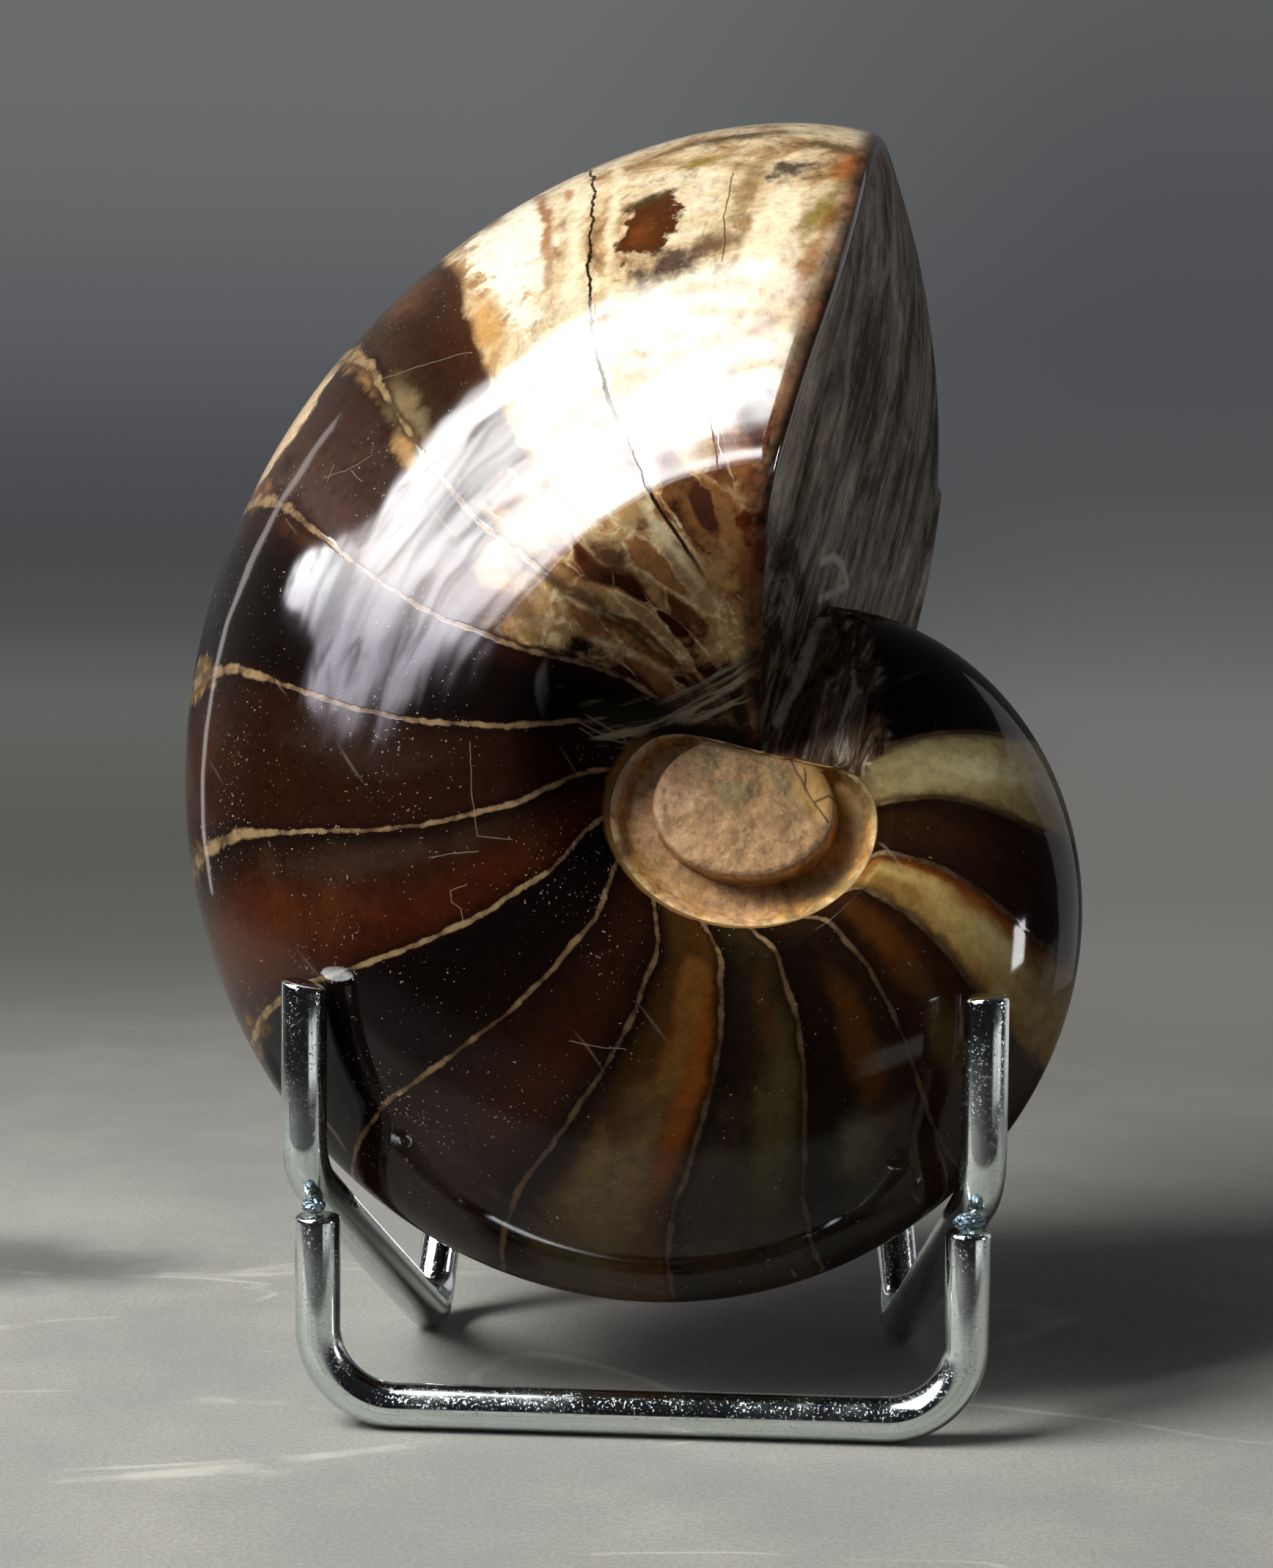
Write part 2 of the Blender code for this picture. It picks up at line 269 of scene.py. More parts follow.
class GroupSheet(Sheet):
    """The sheet of a shader node group."""

    def __init__(self, name: str, inputs: dict[str, str], outputs: Sequence[str],
                 defaults: Optional[dict[str, float]] = None) -> None:
        """Start a group.

        Args:
            name: The group's name.
            inputs: Kind of each input socket, by name.
            outputs: Names of the values that it gives.
            defaults: Values of float inputs, by name.
        """
        super().__init__(bpy.data.node_groups.new(name, "ShaderNodeTree"))
        for direction, sockets in (("INPUT", inputs), ("OUTPUT", dict.fromkeys(outputs, "Float"))):
            for label, kind in sockets.items():
                made = self.tree.interface.new_socket(label, in_out=direction,
                                                      socket_type="NodeSocket" + kind)
                if defaults and label in defaults:
                    made.default_value = defaults[label]
        self.given = self.outputs("NodeGroupInput")
        self.result = self.node("NodeGroupOutput")

    def give(self, name: str, value: Flow) -> Tree:
        """Feed one of the group's outputs and return its tree."""
        self.feed(self.result.inputs[name], value)
        return self.tree


class MaterialSheet(Sheet):
    """The sheet of a material with a Principled shader."""

    def __init__(self, name: str, groups: Groups) -> None:
        """Start a material of that name, which may place the groups."""
        self.groups = groups
        self.material = bpy.data.materials.new(name)
        self.material.use_nodes = True
        super().__init__(self.material.node_tree)
        self.shader = self.tree.nodes["Principled BSDF"]

    def place(self, group: str, feeds: dict) -> dict[str, Flow]:
        """Place a node group and return its outputs by name."""
        return self.outputs("ShaderNodeGroup", feeds, node_tree=self.groups[group])

    def shade(self, feeds: dict[str, Union[Value, Tint]]) -> bpy.types.Material:
        """Feed inputs of the shader and return the material."""
        for name, value in feeds.items():
            self.feed(self.shader.inputs[name], value)
        return self.material

    def bump(self, height: Flow, depth: float, strength: float) -> Flow:
        """Return the normals of a relief.

        Args:
            height: Its height.
            depth: Its depth in millimetres.
            strength: How much of it shows.

        Returns:
            The bumped normal.
        """
        return self.read("ShaderNodeBump", {"Height": height, "Distance": depth * MM, "Strength": strength})


def patch_group() -> Tree:
    """Build a ragged oval patch on a chart of the surface."""
    sheet = GroupSheet("mineral_patch", {
        "Place": "Vector", "Centre": "Vector", "Reach": "Vector", "Wobble": "Float", "Ragged": "Float",
        "Edge": "Float"}, ("Mask",), {"Ragged": 0.5, "Edge": 0.5})
    given = sheet.given
    away = sheet.vector("DIVIDE", sheet.vector("SUBTRACT", given["Place"], given["Centre"]), given["Reach"])
    distance = sheet.vector("LENGTH", away, output="Value")
    reach = distance + (given["Wobble"] - 0.5) * given["Ragged"]
    return sheet.give("Mask", reach.step(1.0 - given["Edge"], 1.0, 1.0, 0.0))


def suture_group() -> Tree:
    """Build the lines where the chamber walls reach the ground surface, and how near they are."""
    sheet = GroupSheet("suture_lines", {
        "Chamber": "Float", "Pitch": "Float", "Wobble": "Float", "Width": "Float"}, ("Line", "Halo"))
    chamber, pitch, wobble, width, *_ = sheet.given.values()
    wavy = chamber + (wobble - 0.5) * (0.6 * MM) / pitch
    gap = abs(wavy - round(wavy)) * pitch
    half = width * 0.5
    sheet.give("Line", gap.step(half * 0.55, half * 1.35, 1.0, 0.0))
    return sheet.give("Halo", gap.step(half, half * 5.0, 1.0, 0.0))


def speck_group() -> Tree:
    """Build small pale specks, thinned out by a density."""
    sheet = GroupSheet("specks", {
        "Place": "Vector", "Spacing": "Float", "Size": "Float", "Density": "Float"}, ("Mask",))
    given = sheet.given
    cells = sheet.cells(given["Place"], given["Spacing"])
    chance = sheet.split(cells["Color"])
    kept = chance[0] < given["Density"]
    size = given["Size"] * (0.35 + chance[1])
    return sheet.give("Mask", cells["Distance"].step(size * 0.5, size, 1.0, 0.0) * kept)


def hairline_group() -> Tree:
    """Build fine straight hairlines left by polishing, in one direction."""
    sheet = GroupSheet("hairlines", {"Place": "Vector", "Turn": "Float", "Density": "Float"}, ("Mask",))
    turned = sheet.turned(sheet.given["Place"], sheet.given["Turn"])
    bent = sheet.vector("ADD", turned, sheet.scaled(sheet.stir(turned, 40.0), (0.0, 0.003, 0.0)))
    cells = sheet.cells(sheet.scaled(bent, (90.0, 1500.0, 150.0)))
    kept = sheet.split(cells["Color"])[0] < sheet.given["Density"]
    return sheet.give("Mask", cells["Distance"].step(0.05, 0.32, 1.0, 0.0) * kept)


def stroke_group() -> Tree:
    """Build one straight stretch of a crack, scratch, vein or painted glint streak, with rounded ends."""
    sheet = GroupSheet("stroke", {"Place": "Vector", "Start": "Vector", "End": "Vector", "Width": "Float"},
                       ("Mask",))
    given = sheet.given
    run = sheet.vector("SUBTRACT", given["End"], given["Start"])
    offset = sheet.vector("SUBTRACT", given["Place"], given["Start"])
    along = sheet.vector("DOT_PRODUCT", offset, run, "Value")
    share = sheet.read("ShaderNodeClamp", {"Value": along / sheet.vector("DOT_PRODUCT", run, run, "Value")})
    nearest = sheet.read("ShaderNodeVectorMath", {0: run, "Scale": share}, operation="SCALE")
    gap = sheet.vector("LENGTH", sheet.vector("SUBTRACT", offset, nearest), output="Value")
    half = given["Width"] * 0.5
    return sheet.give("Mask", gap.step(half * 0.3, half, 1.0, 0.0))


# ------------------------------------------------------------------ shape of the fossil

@dataclass(frozen=True)
class Conch:
    """The coiled shell as a surface over growth and station.

    growth is the turn in radians, 0 at the aperture and negative towards the younger shell.
    station runs from 2 (front umbilical rim) over 1 (front widest line), 0 (venter) and
    -1 (back widest line) to -2 (back umbilical rim).
    """

    aperture_angle: float = math.radians(76.2)
    aperture_radius: float = 75.8 * MM
    growth_rate: float = 0.1823
    half_breadth: float = 0.442
    widest_at: float = 0.377
    flank_curve: float = 1.18
    oval: tuple[float, float, float] = (-0.0047, -0.018, 0.008)
    polish: float = 0.24 * MM

    lip_flare: float = 0.016
    lip_flare_reach: float = 1.3
    lip_wear: float = 0.106
    lip_wear_reach: float = 0.182
    back_fullness: float = 0.5
    back_fullness_reach: float = 0.8
    cut_obliquity: float = math.radians(8.1)
    cut_offset: float = 1.4 * MM
    cut_crown: float = 6.6
    cut_crown_from: float = 40.0 * MM

    opening_radii: tuple[float, float] = (11.7 * MM, 10.2 * MM)
    opening_drop: float = 1.0 * MM
    opening_top: float = 6.0 * MM
    opening_top_slope: float = 0.17
    opening_blend: int = 8
    rim_height: float = 13.6 * MM
    rim_tilt: float = 2.6 * MM
    rim_low_angle: float = math.radians(40.0)
    shoulder: float = 1.5 * MM
    moat_depth: float = 2.2 * MM
    plug_radii: tuple[float, float] = (8.1 * MM, 6.9 * MM)
    plug_height: float = 14.2 * MM
    plug_slope: tuple[float, float] = (-0.12, -0.15)

    def opening(self, angle: float) -> float:
        """Return the radius of the umbilical opening, an oval with a flat top.

        Args:
            angle: Direction from the coil axis.

        Returns:
            The radius.
        """
        across, up = math.cos(angle), math.sin(angle)
        half_width, half_height = self.opening_radii
        a = (across / half_width) ** 2 + (up / half_height) ** 2
        b = 2.0 * up * self.opening_drop / half_height ** 2
        c = (self.opening_drop / half_height) ** 2 - 1.0
        oval = (math.sqrt(b * b - 4.0 * a * c) - b) / (2.0 * a)
        top = self.opening_top / max(up + self.opening_top_slope * across, 0.001)
        blend = self.opening_blend
        return (oval ** -blend + top ** -blend) ** (-1.0 / blend)

    def rim(self, angle: float) -> float:
        """Return the height of the umbilical rim over the median plane."""
        return self.rim_height - self.rim_tilt * math.cos(angle - self.rim_low_angle)

    def plug(self, angle: float) -> float:
        """Return the radius of the plug's edge, kept inside the opening."""
        oval = 1.0 / math.hypot(math.cos(angle) / self.plug_radii[0], math.sin(angle) / self.plug_radii[1])
        return min(oval, 0.9 * self.opening(angle))

    def plug_top(self, x: float, y: float) -> float:
        """Return the height of the plug's slightly tilted top."""
        return self.plug_height + self.plug_slope[0] * x + self.plug_slope[1] * y

    def angle(self, growth: float) -> float:
        """Return the direction from the coil axis at a growth turn."""
        return self.aperture_angle - growth

    def point(self, growth: float, station: float) -> Vector:
        """Return a point of the shell's surface.

        Args:
            growth: Growth turn in radians.
            station: Place across the whorl, from 2 to -2.

        Returns:
            The point in the fossil's own frame.
        """
        angle = self.angle(growth)
        radius = self.aperture_radius * math.exp(self.growth_rate * growth) - self.polish
        opening = self.opening(angle)
        widest = max(self.widest_at * radius, opening + self.shoulder)
        half_breadth = self.half_breadth * radius
        side = math.copysign(1.0, station)
        if abs(station) > 1.0:
            outwards = 2.0 - abs(station)
            rim = self.rim(angle)
            distance = opening + (widest - opening) * outwards
            height = rim + (half_breadth - rim) * math.sin(QUARTER_TURN * outwards)
        else:
            slant = QUARTER_TURN * abs(station)
            oval = 1.0 + self.oval[0] * math.sin(angle)
            oval += self.oval[1] * math.cos(2.0 * angle) + self.oval[2] * math.sin(2.0 * angle)
            oval += self.lip_flare * math.exp(-(growth / self.lip_flare_reach) ** 2)
            near = min(growth, 0.1)
            worn = self.lip_wear * math.exp(near / self.lip_wear_reach)
            back = self.back_fullness * math.exp(near / self.back_fullness_reach)
            fuller = back if station < 0.0 else 0.0
            venter = radius * oval * (1.0 - worn)
            distance = widest + (venter - widest) * math.cos(slant)
            height = half_breadth * math.sin(slant) ** (self.flank_curve * (1.0 - fuller))
        return Vector((distance * math.cos(angle), distance * math.sin(angle), side * height))

    def ahead(self) -> Vector:
        """Return the direction of growth at the aperture."""
        return Vector((math.sin(self.aperture_angle), -math.cos(self.aperture_angle), 0.0))

    def beyond_cut(self, point: Vector) -> float:
        """Return how far a point lies in front of the aperture face.

        Args:
            point: A point in the fossil's own frame.

        Returns:
            The distance, negative behind the face.
        """
        outside = max(0.0, math.hypot(point.x, point.y) - self.cut_crown_from)
        face = self.cut_offset - math.tan(self.cut_obliquity) * point.z - self.cut_crown * outside ** 2
        return point.dot(self.ahead()) - face

    def growth_at_cut(self, station: float, turns_back: int) -> float:
        """Return the growth turn at which one spiral line meets the aperture face.

        Args:
            station: Place across the whorl.
            turns_back: Whole turns to go back from the aperture.

        Returns:
            The growth turn.
        """
        growth = -math.tau * turns_back
        for _ in range(30):
            point = self.point(growth, station)
            growth -= 0.8 * self.beyond_cut(point) / math.hypot(point.x, point.y)
        return growth

    def onto_cut(self, point: Vector) -> Vector:
        """Return a point slid along the growth direction onto the aperture face."""
        for _ in range(6):
            point = point - self.beyond_cut(point) * self.ahead()
        return point

    def frame_at(self, growth: float, station: float) -> tuple[Vector, Vector, float]:
        """Return how the surface runs at a place.

        Args:
            growth: Growth turn in radians.
            station: Place across the whorl.

        Returns:
            The outward normal, the direction of growth and the speed along it.
        """
        small = 0.002
        along = self.point(growth + small, station) - self.point(growth - small, station)
        far, near = min(2.0, station + small), max(-2.0, station - small)
        across = self.point(growth, far) - self.point(growth, near)
        forward = along.normalized()
        return forward.cross(across).normalized() * -1.0, forward, along.length / (2.0 * small)


@dataclass(frozen=True)
class SutureChart:
    """Numbers the chambers back from the aperture, walls at whole numbers."""

    conch: Conch
    walls: tuple[float, ...] = (28.5, 42.5, 55.0, 71.3, 89.5, 108.0, 127.5, 145.3, 165.3, 185.5,
                                203.8, 226.1, 245.0, 262.0, 283.5, 305.0, 326.0, 347.0, 368.0)
    body_pitch: float = 14.0
    wave: tuple[tuple[float, float], ...] = ((0.0, 1.0), (0.15, 0.7), (0.3, 0.0), (0.45, 0.0), (0.6, 2.0),
                                             (0.75, 4.3), (0.87, 5.5), (1.0, 4.0))
    rim_lag: float = -22.0
    rim_lag_at: float = 90.0
    rim_lag_slope: float = 0.137
    rim_lag_curve: float = 1.8

    def place(self, growth: float, station: float) -> tuple[float, float]:
        """Find which chamber a point lies in.

        Args:
            growth: Growth turn in radians.
            station: Place across the whorl.

        Returns:
            The chamber number with its fraction, and the length of one chamber there.
        """
        across = abs(station)
        swing, slope = between(self.wave, across), 0.0
        if across > 1.0:
            share = (across - 1.0) ** self.rim_lag_curve
            swing += (self.rim_lag - swing) * share
            slope = self.rim_lag_slope * share
        back = (math.degrees(-growth) - swing + self.rim_lag_at * slope) / (1.0 + slope)
        first = self.walls[0]
        if back < first:
            chamber, pitch = 1.0 + (back - first) / self.body_pitch, self.body_pitch
        else:
            index = max(i for i, wall in enumerate(self.walls[:-1]) if wall <= back)
            pitch = self.walls[index + 1] - self.walls[index]
            chamber = index + 1 + (back - self.walls[index]) / pitch
        point = self.conch.point(growth, station)
        return chamber, math.radians(pitch) * math.hypot(point.x, point.y)


@dataclass
class Nautilus:
    """The fossil: a ground and polished shell with its aperture face and both umbilici."""

    stand: Vector
    conch: Conch = field(default_factory=Conch)
    lean: float = math.radians(20.5)
    turn: float = math.radians(-1.4)
    coil_axis: Vector = field(default_factory=lambda: Vector((8.6, 21.4, 49.8)) * MM)
    growth_steps: int = 330
    rim_steps: int = 6
    face_steps: int = 26
    crown_rings: int = 32
    rim_rounding: float = 1.1 * MM
    rim_band: float = 1.6 * MM
    scallop: float = 0.4 * MM
    relief: float = 0.16 * MM
    matrix_relief: float = 0.2 * MM
    face_relief: float = 0.12 * MM
    grain: float = 420.0
    matrix_edge: tuple[tuple[float, float], ...] = (
        (0.2, 348.0), (0.55, 343.0), (0.8, 324.0), (0.9, 308.0), (1.3, 300.0))
    matrix_ragged: float = 5.0

    def __post_init__(self) -> None:
        """Make the chart that goes with the shell."""
        self.chart = SutureChart(self.conch)

    def stations(self) -> list[float]:
        """Return the stations of one section, closest where it curves most."""
        wall = [2.0 - i / 12 for i in range(12)]
        flank = [1.0 - i / 34 for i in range(34)]
        return wall + flank + [0.0] + [-station for station in reversed(wall + flank)]

    def rounding(self, station: float) -> float:
        """Return the rounding of the aperture's edge, gone at the umbilicus."""
        return self.rim_rounding * ease(2.0, 1.55, abs(station)) + 0.02 * MM

    def section_line(self, station: float) -> list[tuple[Vector, float, float]]:
        """Return one line along the whorl, round its worn edge and back over the face.

        Args:
            station: Place across the whorl.

        Returns:
            Places with the growth turn and the share of the worn edge at each.
        """
        conch = self.conch
        start = conch.growth_at_cut(station, 1)
        end = conch.growth_at_cut(station, 0)
        normal, forward, speed = conch.frame_at(end, station)
        radius = self.rounding(station)
        last = end - radius / speed
        line = []
        for step in range(self.growth_steps + 1):
            growth = start + (last - start) * step / self.growth_steps
            worn = ease(self.rim_band, 0.0, (last - growth) * speed)
            line.append((conch.point(growth, station), growth, worn))
        edge = conch.point(last, station)
        for step in range(1, self.rim_steps + 1):
            bend = QUARTER_TURN * step / self.rim_steps
            place = edge + radius * (normal * (math.cos(bend) - 1.0) + forward * math.sin(bend))
            line.append((place, end, 1.0))
        inner = line[-1][0]
        for step in range(1, self.face_steps + 1):
            place = inner.lerp(line[0][0], step / self.face_steps)
            if step < self.face_steps:
                place = conch.onto_cut(place)
            line.append((place, end, 1.0))
        return line

    def matrix_share(self, growth: float, station: float, place: Vector) -> float:
        """Return how much the rough dark rock covers the inner whorl, next to the face.

        Args:
            growth: Growth turn in radians.
            station: Place across the whorl.
            place: The place itself.

        Returns:
            The share, 0 to 1.
        """
        edge = between(self.matrix_edge, abs(station))
        ragged = self.matrix_ragged * noise.noise(place * 300.0)
        return ease(edge - 1.5, edge + 1.5, math.degrees(-growth) + ragged)

    def build_shell(self, bm: bmesh.types.BMesh) -> None:
        """Lay a grid over the shell and its aperture face, with its charts.

        Args:
            bm: The fossil's mesh.
        """
        stations = self.stations()
        lines = [self.section_line(station) for station in stations]
        rows, columns = len(lines[0]) - 1, len(stations) - 1
        bmesh.ops.create_grid(bm, x_segments=rows, y_segments=columns, size=1.0)
        chart = bm.verts.layers.float_vector.new("chart")
        wear = bm.verts.layers.float_vector.new("wear")
        face_from = self.growth_steps + self.rim_steps
        for face in bm.faces:
            row = (face.calc_center_median().x + 1.0) * 0.5 * rows
            face.material_index = (Zone.FACE if row > face_from else Zone.FLANK).value
        for vert in bm.verts:
            row = round((vert.co.x + 1.0) * 0.5 * rows)
            column = round((vert.co.y + 1.0) * 0.5 * columns)
            place, growth, worn = lines[column][row]
            station = stations[column]
            chamber, pitch = self.chart.place(growth, station)
            vert[chart] = (chamber, station, pitch)
            matrix = self.matrix_share(growth, station, place) if row <= self.growth_steps else 0.0
            vert[wear] = (worn, matrix, (row - face_from) / self.face_steps)
            vert.co = place
        bmesh.ops.remove_doubles(bm, verts=bm.verts, dist=0.001 * MM)

    def umbilical_rings(self) -> list[tuple[float, Callable, Callable]]:
        """Return the rings that fill an umbilicus: station, radius and height of each."""
        conch = self.conch

        def room(angle: float) -> float:
            """Return 1 where the moat has its full width and 0 where the plug meets the wall."""
            gap = conch.opening(angle) - conch.plug(angle)
            return ease(0.5 * MM, 2.0 * MM, gap)

        def floor(angle: float, x: float, y: float) -> float:
            """Return the height of the moat's floor."""
            deep = conch.rim(angle) - conch.moat_depth
            shallow = min(conch.rim(angle), conch.plug_top(x, y)) - 0.2 * MM
            return shallow + (deep - shallow) * room(angle)

        def wall(share: float, drop: float) -> tuple[Callable, Callable]:
            """Return the radius and height of a ring between the rim and the plug."""
            def radius(angle: float) -> float:
                """Return the ring's radius."""
                return conch.opening(angle) + (conch.plug(angle) - conch.opening(angle)) * share

            def height(angle: float, x: float, y: float) -> float:
                """Return the ring's height."""
                return conch.rim(angle) + (floor(angle, x, y) - conch.rim(angle)) * drop
            return radius, height

        def crown(share: float, drop: float) -> tuple[Callable, Callable]:
            """Return the radius and height of a ring on the plug."""
            def radius(angle: float) -> float:
                """Return the ring's radius."""
                return conch.plug(angle) * share

            def height(angle: float, x: float, y: float) -> float:
                """Return the ring's height."""
                return conch.plug_top(x, y) - drop
            return radius, height

        rings = [(2.05, *wall(0.05, 0.06)), (2.1, *wall(0.12, 0.22)), (2.2, *wall(0.2, 0.5)),
                 (2.3, *wall(0.3, 0.78)), (2.4, *wall(0.42, 0.92)), (2.5, *wall(0.56, 0.95)),
                 (2.6, *wall(0.7, 1.0)), (2.7, *wall(0.85, 1.06)), (2.8, *wall(0.97, 1.1))]
        rings += [(2.9, *crown(1.0, 1.3 * MM)), (2.95, *crown(0.995, 0.7 * MM)),
                  (3.0, *crown(0.98, 0.3 * MM)), (3.05, *crown(0.95, 0.1 * MM))]
        for step in range(self.crown_rings):
            share = 0.9 * (1.0 - step / self.crown_rings)
            rings.append((3.1 + 0.9 * (0.9 - share), *crown(share, 0.0)))
        return rings

    def fill_umbilicus(self, bm: bmesh.types.BMesh, side: float) -> None:
        """Close one umbilicus with its moat and raised plug.

        Args:
            bm: The shell's mesh.
            side: 1 for the front umbilicus, -1 for the back one.
        """
        chart = bm.verts.layers.float_vector["chart"]
        wear = bm.verts.layers.float_vector["wear"]
        edges = [edge for edge in bm.edges if edge.is_boundary and edge.verts[0].co.z * side > 0.0]
        chain = list(dict.fromkeys(vert for edge in edges for vert in edge.verts))
        angles = [math.atan2(vert.co.y, vert.co.x) for vert in chain]
        cusps = [abs(2.0 * (vert[chart].x % 1.0) - 1.0) ** 3 * (vert[wear].z <= 0.0) for vert in chain]
        chambers = [(vert[chart].x, vert[chart].z) for vert in chain]
        for station, radius_at, height_at in self.umbilical_rings():
            bite = self.scallop * ease(2.45, 2.02, station)
            places = []
            for angle, cusp in zip(angles, cusps):
                reach = radius_at(angle) + bite * (cusp - 0.5)
                x, y = reach * math.cos(angle), reach * math.sin(angle)
                height = height_at(angle, x, y)
                seed = Vector((x, y, 0.02 * side)) * self.grain
                rough = noise.fractal(seed, 0.9, 2.2, 4)
                height += self.relief * rough * ease(2.0, 2.3, station)
                places.append(Vector((x, y, side * height)))
            chain, edges = extrude_chain(bm, chain, edges, places, Zone.UMBILICUS.value)
            for vert, (chamber, pitch) in zip(chain, chambers):
                vert[chart] = (chamber, side * station, pitch)
                vert[wear] = (0.0, 0.0, 0.0)
        centre = sum((vert.co for vert in chain), Vector()) / len(chain)
        for face in bmesh.ops.contextual_create(bm, geom=edges)["faces"]:
            face.material_index = Zone.UMBILICUS.value
        bmesh.ops.pointmerge(bm, verts=chain, merge_co=centre)

    def roughen(self, bm: bmesh.types.BMesh) -> None:
        """Sink the rough rock and the aperture face into small hollows.

        Args:
            bm: The fossil's mesh.
        """
        wear = bm.verts.layers.float_vector["wear"]
        bm.normal_update()
        moves = []
        for vert in bm.verts:
            matrix, face = vert[wear].y, ease(0.0, 0.05, vert[wear].z)
            rough = 0.5 + 0.5 * noise.fractal(vert.co * self.grain, 0.8, 2.1, 4)
            combed = Vector((vert.co.x * 60.0, vert.co.y * 60.0, vert.co.z * 400.0))
            ripple = 0.5 + 0.5 * noise.noise(combed)
            depth = self.matrix_relief * matrix * rough + self.face_relief * face * ripple
            moves.append(vert.normal * -max(0.0, depth))
        for vert, move in zip(bm.verts, moves):
            vert.co += move

    def build(self) -> bpy.types.Object:
        """Build the fossil in its place on the stand.

        Returns:
            The finished object.
        """
        bm = bmesh.new()
        self.build_shell(bm)
        self.fill_umbilicus(bm, 1.0)
        self.fill_umbilicus(bm, -1.0)
        bmesh.ops.recalc_face_normals(bm, faces=bm.faces)
        self.roughen(bm)
        stone = bm.verts.layers.float_vector.new("stone")
        for vert in bm.verts:
            vert[stone] = vert.co
        turned = Matrix.Rotation(self.turn, 4, "Z") @ Matrix.Rotation(QUARTER_TURN - self.lean, 4, "X")
        place = Matrix.Translation(self.stand + self.coil_axis) @ turned
        bmesh.ops.transform(bm, matrix=place, verts=bm.verts)
        return finish_piece("nautilus", bm, math.radians(50.0))


def extrude_chain(bm: bmesh.types.BMesh, chain: list, edges: list, places: Iterable[Vector],
                  material: int = 0) -> tuple[list, list]:
    """Extrude a chain of edges and move its new vertices.

    Args:
        bm: The mesh.
        chain: Vertices of the chain.
        edges: Edges of the chain.
        places: Where each new vertex goes.
        material: Material index of the new faces.

    Returns:
        The new vertices, in the chain's order, and the new edges.
    """
    grown = bmesh.ops.extrude_edge_only(bm, edges=edges)["geom"]
    old = set(chain)
    links = {}
    for item in grown:
        if isinstance(item, bmesh.types.BMFace):
            item.material_index = material
        elif isinstance(item, bmesh.types.BMVert):
            for edge in item.link_edges:
                if edge.other_vert(item) in old:
                    links[edge.other_vert(item)] = item
    new_chain = [links[vert] for vert in chain]
    for vert, place in zip(new_chain, places):
        vert.co = place
    inner = set(new_chain)
    new_edges = [item for item in grown if isinstance(item, bmesh.types.BMEdge)
                 and item.verts[0] in inner and item.verts[1] in inner]
    return new_chain, new_edges


def finish_piece(name: str, bm: bmesh.types.BMesh, sharp: float) -> bpy.types.Object:
    """Turn a finished bmesh into a named object.

    Args:
        name: The piece's name.
        bm: Its mesh, which is freed.
        sharp: Angle above which an edge stays sharp.

    Returns:
        The object, in the scene.
    """
    mesh = bpy.data.meshes.new(name)
    bm.to_mesh(mesh)
    bm.free()
    mesh.shade_smooth()
    mesh.set_sharp_from_angle(angle=sharp)
    piece = bpy.data.objects.new(name, mesh)
    bpy.context.scene.collection.objects.link(piece)
    return piece


# ------------------------------------------------------------------ stand

